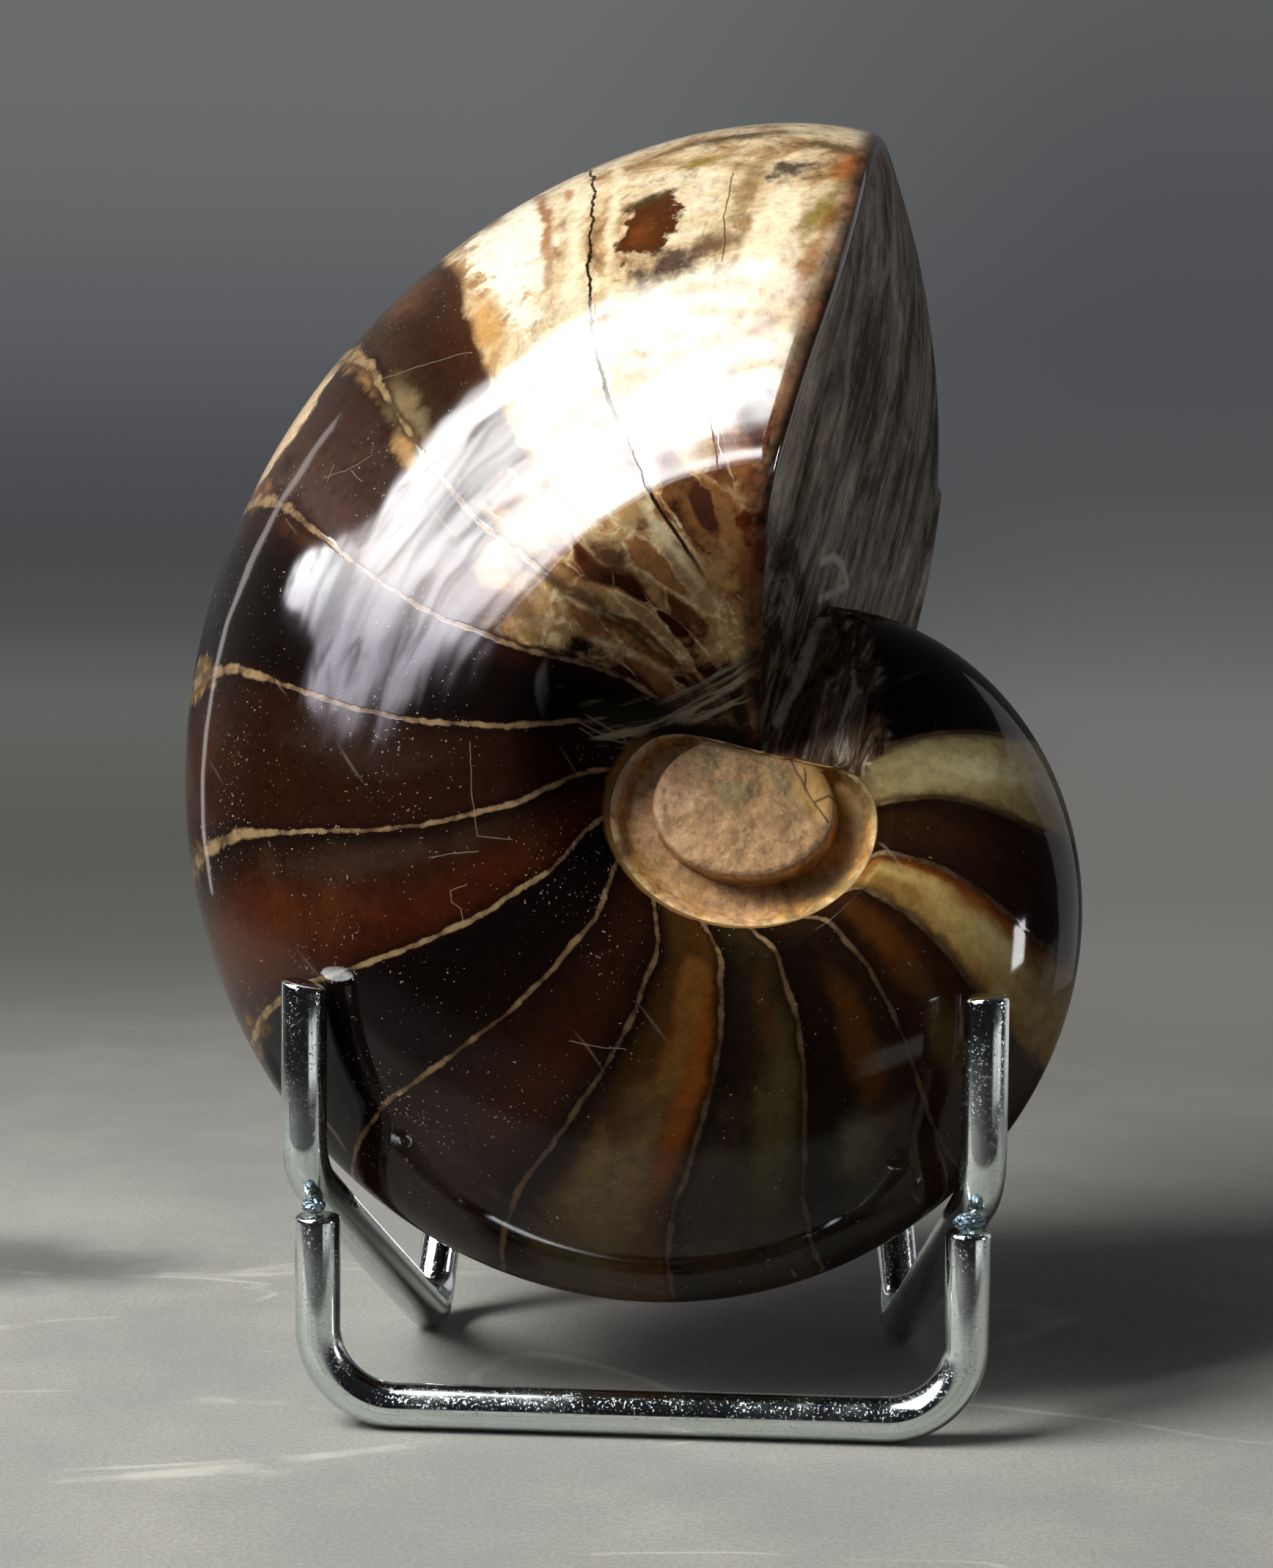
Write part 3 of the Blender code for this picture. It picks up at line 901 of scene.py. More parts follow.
@dataclass
class BentWire:
    """A round wire bent along a path, with dressed ends."""

    stand: Vector
    radius: float = 1.985 * MM
    corner_radius: float = 2.0 * MM / math.cos(math.pi / 12)
    sides: int = 40
    bend_step: float = math.radians(4.0)
    edge_break: float = 0.45 * MM
    tip_rings: int = 5
    tip_slant: tuple[float, float] = (0.0, 0.0)
    name: str = "wire"

    def path(self) -> list[Vector]:
        """Return the centre line, relative to the middle of the foot bar."""
        raise NotImplementedError

    def arc(self, centre: tuple[float, float], radius: float, start: float, end: float,
            across: Callable) -> list[Vector]:
        """Return points of an upright arc.

        Args:
            centre: Depth and height of its centre.
            radius: Its radius.
            start: First angle.
            end: Last angle.
            across: Gives the sideways place at each depth.

        Returns:
            The points of the arc.
        """
        steps = max(2, math.ceil(abs(end - start) / self.bend_step))
        points = []
        for step in range(steps + 1):
            angle = start + (end - start) * step / steps
            depth = centre[0] + radius * math.cos(angle)
            points.append(Vector((across(depth), depth, centre[1] + radius * math.sin(angle))))
        return points

    def fillet(self, before: Vector, corner: Vector, after: Vector, radius: float) -> list[Vector]:
        """Return the arc that rounds a corner between two straight runs.

        Args:
            before: A point of the first run.
            corner: Where the runs would meet.
            after: A point of the second run.
            radius: Radius of the bend.

        Returns:
            The points of the arc.
        """
        first = (before - corner).normalized()
        second = (after - corner).normalized()
        half_angle = 0.5 * first.angle(second)
        middle = corner + (first + second).normalized() * radius / math.sin(half_angle)
        start = corner + first * radius / math.tan(half_angle) - middle
        sweep = math.pi - 2.0 * half_angle
        axis = second.cross(first)
        steps = max(2, math.ceil(sweep / self.bend_step))
        return [middle + Quaternion(axis, sweep * step / steps) @ start for step in range(steps + 1)]

    def both_halves(self, half: list[Vector]) -> list[Vector]:
        """Return the whole path from its right half, tip first."""
        return [Vector((-point.x, point.y, point.z)) for point in half] + half[::-1]

    def stops(self) -> list[tuple[Vector, float]]:
        """Return the path with a ring size at each point, rounded over at both tips."""
        path = self.path()
        tips = []
        for tip, inward in ((path[0], path[1]), (path[-1], path[-2])):
            run = (inward - tip).normalized()
            rounded = []
            for step in range(self.tip_rings):
                bend = QUARTER_TURN * step / (self.tip_rings - 1)
                inset = self.edge_break * (1.0 - math.sin(bend))
                shrunk = self.edge_break * (1.0 - math.cos(bend)) / self.radius
                rounded.append((tip + run * inset, 1.0 - shrunk))
            tips.append(rounded)
        middle = [(point, 1.0) for point in path[1:-1]]
        return tips[0][::-1] + middle + tips[1]

    def build(self) -> bpy.types.Object:
        """Sweep the wire along its path.

        Returns:
            The finished object.
        """
        bm = bmesh.new()
        run_layer = bm.verts.layers.float_vector.new("chart")
        ring = bmesh.ops.create_circle(bm, segments=self.sides, radius=self.radius)
        chain = ring["verts"]
        edges = list(dict.fromkeys(edge for vert in chain for edge in vert.link_edges))
        base = [vert.co.copy() for vert in chain]
        stops = self.stops()
        runs = [(after[0] - before[0]).normalized() for before, after in zip(stops, stops[1:])]
        side = Vector((0.0, 1.0, 0.0))
        travelled = 0.0
        for index, (place, scale) in enumerate(stops):
            before, after = runs[max(0, index - 1)], runs[min(len(runs) - 1, index)]
            side = before.rotation_difference(after) @ side
            ahead = (before + after).normalized()
            level = (side - ahead * side.dot(ahead)).normalized()
            other = ahead.cross(level)
            slant = self.slant_at(index, len(stops))
            places = []
            for corner in base:
                offset = (level * corner.x + other * corner.y) * scale
                places.append(place + offset + ahead * slant * offset.dot(Vector((1.0, 0.0, 0.0))))
            if index == 0:
                bmesh.ops.contextual_create(bm, geom=edges)
                for vert, where in zip(chain, places):
                    vert.co = where
            else:
                travelled += (place - stops[index - 1][0]).length
                chain, edges = extrude_chain(bm, chain, edges, places)
            for turn, vert in enumerate(chain):
                vert[run_layer] = (travelled, math.cos(math.tau * turn / self.sides),
                                   math.sin(math.tau * turn / self.sides))
        bmesh.ops.contextual_create(bm, geom=edges)
        bmesh.ops.recalc_face_normals(bm, faces=bm.faces)
        bmesh.ops.translate(bm, vec=self.stand, verts=bm.verts)
        return finish_piece(self.name, bm, math.radians(50.0))

    def slant_at(self, index: int, count: int) -> float:
        """Return the slant of one ring, which shears only the dressed tips.

        Args:
            index: Number of the ring.
            count: How many rings there are.

        Returns:
            The slant.
        """
        if index < self.tip_rings:
            return self.tip_slant[0]
        if index >= count - self.tip_rings:
            return self.tip_slant[1]
        return 0.0


@dataclass
class EaselWire(BentWire):
    """The wire that holds the fossil: two front hooks, two arms and an arched back."""

    name: str = "easel_round_wire"
    tip_slant: tuple[float, float] = (0.22, 0.03)
    hook_half_span: float = 29.6 * MM
    hook_tip_height: float = 39.4 * MM
    hook_bend_radius: float = 6.0 * MM
    hook_bend_height: float = 26.0 * MM
    rear_half_span: float = 23.2 * MM
    rear_depth: float = 34.0 * MM
    rear_bend_radius: float = 4.0 * MM
    back_lean: float = math.radians(23.2)
    back_height: float = 62.0 * MM
    back_half_span: float = 17.0 * MM
    back_corner_radius: float = 11.0 * MM

    def path(self) -> list[Vector]:
        """Return the centre line from the left hook's tip to the right one's."""
        hook_centre = (self.hook_bend_radius, self.hook_bend_height)
        rear_centre = (self.rear_depth, self.corner_radius + self.rear_bend_radius)
        run = math.dist(hook_centre, rear_centre)
        drop = math.atan2(hook_centre[1] - rear_centre[1], rear_centre[0] - hook_centre[0])
        slope = drop - math.asin((self.hook_bend_radius - self.rear_bend_radius) / run)

        def across(depth: float) -> float:
            """Return how far to the side the wire runs at a depth."""
            share = min(1.0, max(0.0, depth / self.rear_depth))
            return self.hook_half_span + (self.rear_half_span - self.hook_half_span) * share

        low, flat = -QUARTER_TURN - slope, -QUARTER_TURN
        half = [Vector((self.hook_half_span, 0.0, self.hook_tip_height))]
        half += self.arc(hook_centre, self.hook_bend_radius, math.pi, math.tau + low, across)
        half += self.arc(rear_centre, self.rear_bend_radius, low, flat, across)
        half += self.arc(rear_centre, self.rear_bend_radius, flat, -self.back_lean, across)[1:]
        foot = half[-1]
        rise = self.back_height - foot.z
        corner = Vector((self.back_half_span, foot.y + rise * math.tan(self.back_lean), self.back_height))
        half += self.fillet(foot, corner, Vector((0.0, corner.y, corner.z)), self.back_corner_radius)
        return self.both_halves(half)


@dataclass
class FootWire(BentWire):
    """The wire in front: two short uprights and the bar on the table."""

    name: str = "foot_round_wire"
    half_span: float = 28.4 * MM
    height: float = 18.9 * MM
    bend_radius: float = 7.0 * MM
    bar_height: float = 2.0 * MM

    def path(self) -> list[Vector]:
        """Return the centre line from the left upright's top to the right one's."""
        top = Vector((self.half_span, 0.0, self.height))
        corner = Vector((self.half_span, 0.0, self.bar_height))
        middle = Vector((0.0, 0.0, self.bar_height))
        return self.both_halves([top] + self.fillet(top, corner, middle, self.bend_radius))


@dataclass
class WeldBead:
    """A small lumpy bead that joins an upright to the easel wire's bend."""

    name: str
    stand: Vector
    place: Vector
    radii: Vector
    lump: float = 0.22

    def build(self) -> bpy.types.Object:
        """Build the bead in the crook between the wires.

        Returns:
            The finished object.
        """
        bm = bmesh.new()
        bmesh.ops.create_icosphere(bm, subdivisions=5, radius=1.0)
        for vert in bm.verts:
            rough = noise.fractal(vert.co * 1.7 + self.place * 900.0, 1.0, 2.0, 3)
            vert.co *= 1.0 - self.lump * min(1.0, abs(rough) * 1.6)
        bmesh.ops.scale(bm, vec=self.radii, verts=bm.verts)
        bmesh.ops.translate(bm, vec=self.place + self.stand, verts=bm.verts)
        bmesh.ops.recalc_face_normals(bm, faces=bm.faces)
        return finish_piece(self.name, bm, math.radians(80.0))


# ------------------------------------------------------------------ finishes

@dataclass(frozen=True)
class Glow:
    """A patch where it lies on a chart, its reach and its colour: calcite clouds and stains, a painted
    sheen and a painted shadow.
    """

    centre: tuple[float, float]
    reach: tuple[float, float]
    colour: str
    strength: float = 0.9
    ragged: float = 1.5
    edge: float = 0.8

    def over(self, sheet: MaterialSheet, colour: Tint, place: Flow, wobble: Flow) -> Flow:
        """Lay the cloud over a colour.

        Args:
            sheet: Where the nodes go.
            colour: The colour under it.
            place: Place on the chart.
            wobble: A noise that makes its edge ragged.

        Returns:
            The new colour.
        """
        mask = sheet.place("patch", {
            "Place": place, "Centre": (*self.centre, 0.0), "Reach": (*self.reach, 1.0), "Wobble": wobble,
            "Ragged": self.ragged, "Edge": self.edge})["Mask"]
        return sheet.mix(mask * self.strength, colour, self.colour)


@dataclass(frozen=True)
class Strokes:
    """Cracks, scratches, veins or painted glint streaks of one kind, as runs of places in millimetres from
    the coil axis.
    """

    runs: tuple[tuple[tuple[float, ...], ...], ...]
    width: float
    colour: str
    strength: float = 0.9
    wobble: float = 0.25

    def mask(self, sheet: MaterialSheet, stone: Flow, bends: Flow) -> Flow:
        """Return the mask of all the strokes.

        Args:
            sheet: Where the nodes go.
            stone: Place in the fossil's own frame.
            bends: A noise with three parts that bends the strokes.

        Returns:
            The mask.
        """
        stir = sheet.scaled(sheet.vector("SUBTRACT", bends, MIDDLE), (self.wobble * 2.0 * MM,) * 3)
        place = sheet.vector("ADD", stone, stir)
        if len(self.runs[0][0]) == 2:
            place = sheet.scaled(place, FLAT)
        mask = None
        for run in self.runs:
            corners = [tuple(part * MM for part in (*corner, 0.0)[:3]) for corner in run]
            for start, end in zip(corners, corners[1:]):
                one = sheet.place("stroke", {"Place": place, "Start": start, "End": end,
                                             "Width": self.width * MM})["Mask"]
                mask = one if mask is None else mask.at_least(one)
        return mask * self.strength


@dataclass(frozen=True)
class PolishedShellFinish:
    """Ground shell: chamber fillings, suture lines, stains and a deep gloss."""

    fillings: Stops = (
        (-1.0, "8a5e3c"), (-0.5, "b4936a"), (0.0, "cab08a"), (0.9, "d4be9a"), (1.0, "c5aa84"),
        (1.1, "e6d8be"), (1.8, "dcc6a0"), (2.0, "a07a50"), (2.08, "3e2414"), (2.5, "2e1a0f"),
        (2.9, "3c281a"), (3.05, "2e1c14"), (3.95, "4a342c"), (4.05, "2a140c"), (4.3, "120a08"),
        (4.9, "0e0806"), (5.05, "24120a"), (5.95, "28130b"), (6.05, "1c110b"), (6.6, "381a0c"),
        (6.95, "2e1108"), (7.05, "0c0706"), (7.95, "110906"), (8.05, "1a0d08"))
    deep_fillings: Stops = (
        (8.0, "1a0d08"), (8.5, "28140a"), (8.95, "1c0e08"), (9.05, "140b06"), (9.3, "38240e"),
        (9.95, "3e240c"), (10.05, "17100a"), (10.95, "2c2212"), (11.05, "140c07"), (11.95, "22150c"),
        (12.05, "22130a"), (12.95, "2c180c"), (13.05, "8a6a38"), (13.95, "7a4a22"), (14.05, "26160e"),
        (14.95, "22130a"), (15.05, "8c7c50"), (15.95, "9a8a60"), (16.05, "0a0606"), (18.0, "140c0c"))
    deep_from: float = 8.02
    glows: tuple[Glow, ...] = (
        Glow((2.92, 0.62), (0.22, 0.14), "7c6a4c", 0.9), Glow((3.78, 0.56), (0.4, 0.16), "4c3834", 0.8),
        Glow((2.45, 0.35), (0.3, 0.16), "5c3a22", 0.8), Glow((3.4, 0.62), (0.4, 0.2), "3c2c26", 0.8),
        Glow((4.06, 0.5), (0.13, 0.16), "4a2c1a", 0.5), Glow((5.35, 0.75), (0.3, 0.2), "33261f", 0.6),
        Glow((5.5, 0.25), (0.45, 0.3), "42200f", 0.7), Glow((6.55, 0.42), (0.42, 0.42), "4a2412", 0.85),
        Glow((6.7, 0.85), (0.25, 0.25), "40190b", 0.8), Glow((6.25, 0.72), (0.22, 0.3), "3a2a22", 0.7),
        Glow((8.66, 0.7), (0.34, 0.32), "2e1307", 0.95), Glow((8.4, 0.35), (0.4, 0.3), "241a10", 0.8),
        Glow((9.62, 0.9), (0.3, 0.34), "62401a", 0.95), Glow((9.5, 0.5), (0.42, 0.34), "5e4c2e", 0.95),
        Glow((9.82, 0.74), (0.17, 0.3), "6c3a12", 0.9), Glow((9.45, 0.2), (0.4, 0.22), "3c3624", 0.8),
        Glow((10.7, 0.62), (0.3, 0.36), "433b22", 0.95), Glow((10.3, 0.45), (0.34, 0.3), "34291a", 0.8),
        Glow((10.6, 0.9), (0.26, 0.2), "3a2410", 0.8), Glow((11.6, 0.72), (0.26, 0.3), "45280e", 0.95),
        Glow((11.4, 0.5), (0.3, 0.14), "5a523a", 0.8), Glow((11.5, 0.3), (0.4, 0.3), "2c2416", 0.7),
        Glow((12.5, 0.9), (0.34, 0.3), "4c2b0e", 0.95), Glow((12.5, 0.55), (0.3, 0.3), "3c2f18", 0.9),
        Glow((13.45, 0.7), (0.44, 0.85), "b79c5e", 0.95),
        Glow((13.62, 0.56), (0.22, 0.2), "d2bf8a", 0.7), Glow((13.3, 0.98), (0.3, 0.3), "7a5624", 0.8),
        Glow((13.7, 0.2), (0.4, 0.35), "8e7b58", 0.8), Glow((13.9, 0.8), (0.1, 0.6), "7a3c16", 0.8),
        Glow((14.55, 0.9), (0.36, 0.4), "2e1a0e", 0.8),
        Glow((15.52, 0.75), (0.44, 0.85), "b3a678", 0.95),
        Glow((15.5, 0.6), (0.24, 0.25), "cfc49c", 0.7), Glow((15.5, 1.05), (0.3, 0.3), "8c7a4c", 0.8),
        # The last glow, over the black chambers, is a painted sheen: a reddish-brown reflection.
        Glow((16.6, 0.15), (0.5, 0.3), "2c1c1c", 0.8))
    stains: tuple[Glow, ...] = (
        Glow((1.62, 0.44), (0.34, 0.26), "f6eed6", 0.95, 1.8, 0.3),
        Glow((1.36, 0.42), (0.07, 0.3), "9a6434", 0.9), Glow((1.14, 0.44), (0.13, 0.34), "efe0bc", 0.9),
        Glow((0.86, 0.5), (0.07, 0.3), "efdfba", 0.8), Glow((1.9, 0.62), (0.2, 0.12), "c89a5c", 0.9),
        Glow((1.66, 0.26), (0.12, 0.09), "8a5a2c", 0.8), Glow((1.19, 0.39), (0.06, 0.05), "a86a30", 0.8),
        Glow((0.57, 0.6), (0.24, 0.075), "4e2a10", 1.0, 2.1, 0.3),
        Glow((0.6, 0.61), (0.14, 0.04), "6a3a18", 0.8, 2.7),
        Glow((0.62, 0.535), (0.24, 0.02), "4a3a20", 0.9, 1.8),
        Glow((0.34, 0.7), (0.44, 0.04), "503c34", 0.95, 2.4),
        Glow((0.0, 0.68), (0.3, 0.03), "6c5038", 0.8, 2.4),
        Glow((-0.4, 0.67), (0.21, 0.13), "f6e2be", 1.0, 0.9, 0.4),
        Glow((-0.7, 0.63), (0.13, 0.1), "82702c", 0.85), Glow((-0.8, 0.72), (0.1, 0.14), "94602e", 0.8),
        Glow((-0.1, 0.56), (0.12, 0.14), "8a6a3c", 0.6), Glow((-0.66, 0.5), (0.12, 0.07), "b0642c", 0.9),
        Glow((-0.34, 0.53), (0.26, 0.04), "4c3c2c", 0.95, 3.0),
        Glow((0.28, 0.46), (0.2, 0.035), "8e742c", 0.9, 2.7),
        Glow((0.1, 0.37), (0.55, 0.03), "4a3a22", 0.9, 1.5),
        Glow((-0.45, 0.43), (0.3, 0.03), "5c4628", 0.9, 2.1),
        Glow((1.7, 0.5), (0.16, 0.1), "fbf6e4", 0.9),
        Glow((3.42, 0.2), (0.5, 0.13), "e0c29c", 1.0, 0.75, 0.25),
        Glow((3.0, 0.3), (0.14, 0.12), "b98e5e", 0.9), Glow((3.1, 0.68), (0.16, 0.07), "b08a5a", 0.9),
        Glow((3.05, 0.45), (0.09, 0.12), "8f6a42", 0.8), Glow((3.95, 0.26), (0.14, 0.14), "9a6c3c", 0.9),
        Glow((3.75, 0.36), (0.12, 0.05), "2c1c14", 0.8),
        Glow((5.0, 0.16), (0.16, 0.2), "c09a5c", 0.8, 2.4),
        Glow((6.0, 0.16), (0.12, 0.16), "a8844c", 0.7, 2.4),
        Glow((7.0, 0.16), (0.14, 0.2), "80562c", 0.8, 2.4), Glow((1.6, 0.9), (0.5, 0.16), "d8c29c", 0.8),
        Glow((0.2, 1.3), (0.9, 0.5), "96683a", 0.7, 2.1),
        Glow((2.1, 1.2), (0.32, 0.2), "4a2818", 0.9, 2.7),
        Glow((0.42, 1.2), (0.16, 0.13), "4c2a1c", 1.0, 1.8, 0.3),
        Glow((-0.1, 1.38), (0.2, 0.14), "5e280e", 1.0, 2.1, 0.4),
        Glow((1.2, 1.24), (0.13, 0.3), "e6d6ae", 0.9, 1.8),
        Glow((0.75, 1.45), (0.5, 0.12), "b8905a", 0.8, 2.4),
        Glow((-0.3, 1.1), (0.25, 0.2), "7a4426", 0.7, 2.4),
        Glow((3.58, 1.02), (0.3, 0.2), "6a4a30", 0.8),
        Glow((3.7, 1.4), (0.24, 0.14), "2c1a0e", 1.0, 3.0), Glow((3.8, 1.1), (0.12, 0.2), "7a6238", 0.8))
    cracks: Strokes = Strokes((
        ((-2.5, 57.7), (-2.7, 51.0), (-2.6, 45.8)), ((-19.5, 24.0), (-17.6, 22.6), (-16.5, 20.0)),
        ((-14.0, 27.0), (-12.0, 23.0), (-12.6, 21.5))), 0.24, "5a3c24", 0.8, 0.45)
    scratches: Strokes = Strokes((
        ((-23.1, -9.4), (-24.6, -10.1), (-24.5, -11.0), (-23.6, -11.6), (-23.5, -13.1)),
        ((-23.4, 2.5), (-22.3, -5.5), (-19.3, -5.8)), ((-26.5, -7.3), (-22.2, -6.7)),
        ((-39.0, 28.9), (-36.5, 29.2), (-34.0, 30.0)), ((-38.0, 30.1), (-38.4, 28.4)),
        ((-35.9, 29.0), (-34.8, 27.5)), ((-35.0, 38.7), (-25.3, 39.2)), ((-14.0, -22.5), (-9.0, -23.0))),
        0.13, "a39680", 0.45, 0.5)
    grinding: Strokes = Strokes((
        ((-14.5, 5.5), (-12.4, 5.1), (-10.1, 5.6), (-6.2, 6.3)), ((-14.2, 5.0), (-13.0, 4.6), (-10.2, 5.0)),
        ((-13.6, 6.2), (-11.2, 5.4), (-9.6, 4.5)), ((-8.8, 6.6), (-4.7, 8.8), (0.8, 10.8)),
        ((-9.7, 5.7), (-5.7, 7.7), (0.7, 9.3)), ((-10.8, 3.1), (-9.5, 5.4))), 0.2, "aaa492", 0.6, 0.35)
    # A near-white streak over the rock at the joint with the face: a painted highlight where it catches the
    # light.
    joint_glint_streak: Strokes = Strokes((
        ((6.0, 20.4, 6.2), (5.5, 17.6, 8.4), (4.5, 13.8, 10.0), (3.6, 11.7, 10.5), (2.6, 9.0, 10.7)),),
        1.7, "f6f2e8", 0.95, 0.4)
    ground_zone: Strokes = Strokes((
        ((-12.0, 5.8), (-8.0, 6.7), (-4.2, 8.6), (1.0, 10.2)),), 5.4, "2e2c24", 1.0, 1.2)
    veins: Stops = ((0.3, "6a4830"), (0.4, "a68258"), (0.5, "d6c29c"), (0.62, "e8dcc2"), (0.75, "c4aa82"))
    vein_grain: Stops = ((0.34, (0.42, 0.33, 0.26)), (0.46, (0.92, 0.88, 0.82)), (0.6, (1.12, 1.1, 1.05)))
    cells: Stops = ((0.2, "3e1c10"), (0.38, "74482c"), (0.5, "b58d5e"), (0.66, "d8bf94"), (0.85, "96683e"))
    cell_grain: Stops = ((0.3, (0.5, 0.45, 0.4)), (0.5, (1.0, 1.0, 1.0)), (0.72, (1.6, 1.5, 1.35)))
    mottle: Stops = ((0.3, (0.5, 0.46, 0.42)), (0.5, (1.0, 1.0, 1.0)), (0.75, (1.5, 1.42, 1.3)))
    rock: Stops = ((0.36, "2c2018"), (0.47, "664e3c"), (0.55, "8a7866"), (0.61, "d4ccbc"), (0.67, "8c7c6c"),
                   (0.74, "503e30"))
    suture: tuple[str, str] = ("5c4630", "a88c66")
    suture_width: tuple[float, float] = (0.4 * MM, 0.7 * MM)
    crack_width: tuple[float, float] = (0.08 * MM, 0.26 * MM)
    crack_at: float = 1.02
    roughness: tuple[float, float] = (0.06, 0.12)
    gloss_roughness: float = 0.07

    def fill(self, sheet: Sheet, chamber: Flow) -> Flow:
        """Return the base colour of the chamber fillings.

        Args:
            sheet: Where the nodes go.
            chamber: The chamber number with its fraction.

        Returns:
            The colour.
        """
        def part(fillings: Stops) -> Flow:
            """Return the colours of one run of chambers."""
            low, high = fillings[0][0], fillings[-1][0]
            stops = [((place - low) / (high - low), code) for place, code in fillings]
            return sheet.ramp((chamber - low) / (high - low), stops)
        return sheet.mix(chamber > self.deep_from, part(self.fillings), part(self.deep_fillings))

    def body_veins(self, sheet: Sheet, stone: Flow) -> Flow:
        """Return the clouded cream and brown of the body chamber.

        Args:
            sheet: Where the nodes go.
            stone: Place in the fossil's own frame.

        Returns:
            The colour.
        """
        clouds = sheet.ramp(sheet.noise(stone, 95.0, 5.0, 0.68, 0.7), self.veins)
        grain = sheet.noise(sheet.scaled(stone, (1.0, 0.45, 1.0)), 520.0, 5.0, 0.7, 0.8)
        return sheet.mix(0.85, clouds, sheet.ramp(grain, self.vein_grain), "MULTIPLY")

    def inner_cells(self, sheet: Sheet, chamber: Flow, across: Flow, stone: Flow) -> Flow:
        """Return the brown cells and pale veins that converge on the umbilicus.

        Args:
            sheet: Where the nodes go.
            chamber: The chamber number with its fraction.
            across: Station from the venter, on either side.
            stone: Place in the fossil's own frame.

        Returns:
            The colour.
        """
        stir = sheet.vector("SUBTRACT", sheet.stir(stone, 330.0, 4.0), MIDDLE)
        place = sheet.combine(chamber * 2.3, across * 3.4)
        place = sheet.vector("ADD", place, sheet.scaled(stir, (0.7, 0.45, 0.0)))
        walls = sheet.cells(place, feature="DISTANCE_TO_EDGE")
        kinds = sheet.cells(place, feature="SMOOTH_F1", Smoothness=0.55)
        body = sheet.ramp(sheet.split(kinds["Color"])[0], self.cells)
        grain = sheet.noise(stone, 500.0, 5.0, 0.7, 0.8)
        body = sheet.mix(0.9, body, sheet.ramp(grain, self.cell_grain), "MULTIPLY")
        uneven = sheet.noise(stone, 130.0, 4.0, 0.65)
        vein = walls["Distance"].step(0.0, uneven.step(0.4, 0.62, 0.02, 0.2), 1.0, 0.0)
        body = sheet.mix(uneven.step(0.5, 0.62, 0.0, 0.7), body, "cfa873")
        tint = sheet.mix(grain.step(0.42, 0.6), "b88c58", "f0deb2")
        return sheet.mix(vein * uneven.step(0.36, 0.5, 0.25, 0.85), body, tint)

    def line_width(self, chamber: Flow, across: Flow, ragged: Flow) -> Flow:
        """Return the width of the suture lines, broadest near the venter of the younger chambers.

        Args:
            chamber: The chamber number with its fraction.
            across: Station from the venter, on either side.
            ragged: A fine noise.

        Returns:
            The width.
        """
        outer = across.step(0.62, 0.3)
        width = self.suture_width[0] + chamber.step(7.4, 6.3) * outer * self.suture_width[1]
        return width * ragged.step(0.25, 0.75, 0.5, 1.6)

    def crack(self, chamber: Flow, across: Flow, pitch: Flow, ragged: Flow) -> Flow:
        """Return the mask of the one fine crack across the body chamber.

        Args:
            chamber: The chamber number with its fraction.
            across: Station from the venter, on either side.
            pitch: Length of one chamber.
            ragged: A fine noise.

        Returns:
            The mask.
        """
        away = abs(chamber + (ragged - 0.5) * 0.12 - self.crack_at)
        return (away * pitch).step(*self.crack_width, 1.0, 0.0) * across.step(1.6, 1.3)

    def grinding_marks(self, sheet: MaterialSheet, chamber: Flow, stone: Flow,
                       bends: Flow) -> tuple[Flow, Flow]:
        """Return the haze and the pale streaks left by the grinder beside the umbilicus.

        Args:
            sheet: Where the nodes go.
            chamber: The chamber number with its fraction.
            stone: Place in the fossil's own frame.
            bends: A noise with three parts.

        Returns:
            The masks of the haze and of the streaks.
        """
        zone = self.ground_zone.mask(sheet, stone, bends) * chamber.step(6.2, 5.8)
        curved = sheet.vector("ADD", stone, sheet.scaled(bends, (0.6 * MM, 0.6 * MM, 0.0)))
        combed = sheet.scaled(sheet.turned(curved, -0.4), (70.0, 1300.0, 70.0))
        fibres = sheet.noise(combed, 1.0, 3.0, 0.6, 0.3)
        haze = zone * 0.85
        return haze, fibres.step(0.49, 0.6) * haze

    def material(self, groups: Groups) -> bpy.types.Material:
        """Build the material.

        Args:
            groups: The shared node groups, by name.

        Returns:
            The polished shell material.
        """
        sheet = MaterialSheet("polished_shell", groups)
        chamber, station, pitch = sheet.split(sheet.attribute("chart"))
        worn, matrix, _ = sheet.split(sheet.attribute("wear"))
        stone = sheet.attribute("stone")
        across = abs(station)
        shown = station > 0.0
        ragged = sheet.noise(stone, 420.0, 5.0, 0.62)
        cloudy = sheet.noise(stone, 160.0, 4.0, 0.6, 0.6)
        bends = sheet.stir(stone, 260.0, 3.0)

        # Fillings, clouds and stains, with one painted sheen.
        shift = (sheet.noise(stone, 600.0, 3.0) - 0.5) * 0.09
        both = sheet.combine(chamber + shift, across)
        front = sheet.combine(chamber + shift, station)
        colour = self.fill(sheet, chamber)
        for glow in self.glows:
            colour = glow.over(sheet, colour, both, cloudy)
        pale = (chamber + (cloudy - 0.5) * 0.5).step(2.05, 1.93)
        colour = sheet.mix(pale * 0.9, colour, self.body_veins(sheet, stone))
        inner = (across + (cloudy - 0.5) * 0.6).step(0.86, 1.0) * chamber.step(3.98, 3.9)
        colour = sheet.mix(inner, colour, self.inner_cells(sheet, chamber, across, stone))
        for stain in self.stains:
            colour = stain.over(sheet, colour, front, ragged)
        mottle = sheet.ramp(sheet.noise(stone, 900.0, 6.0, 0.7), self.mottle)
        colour = sheet.mix(0.6, colour, mottle, "MULTIPLY")

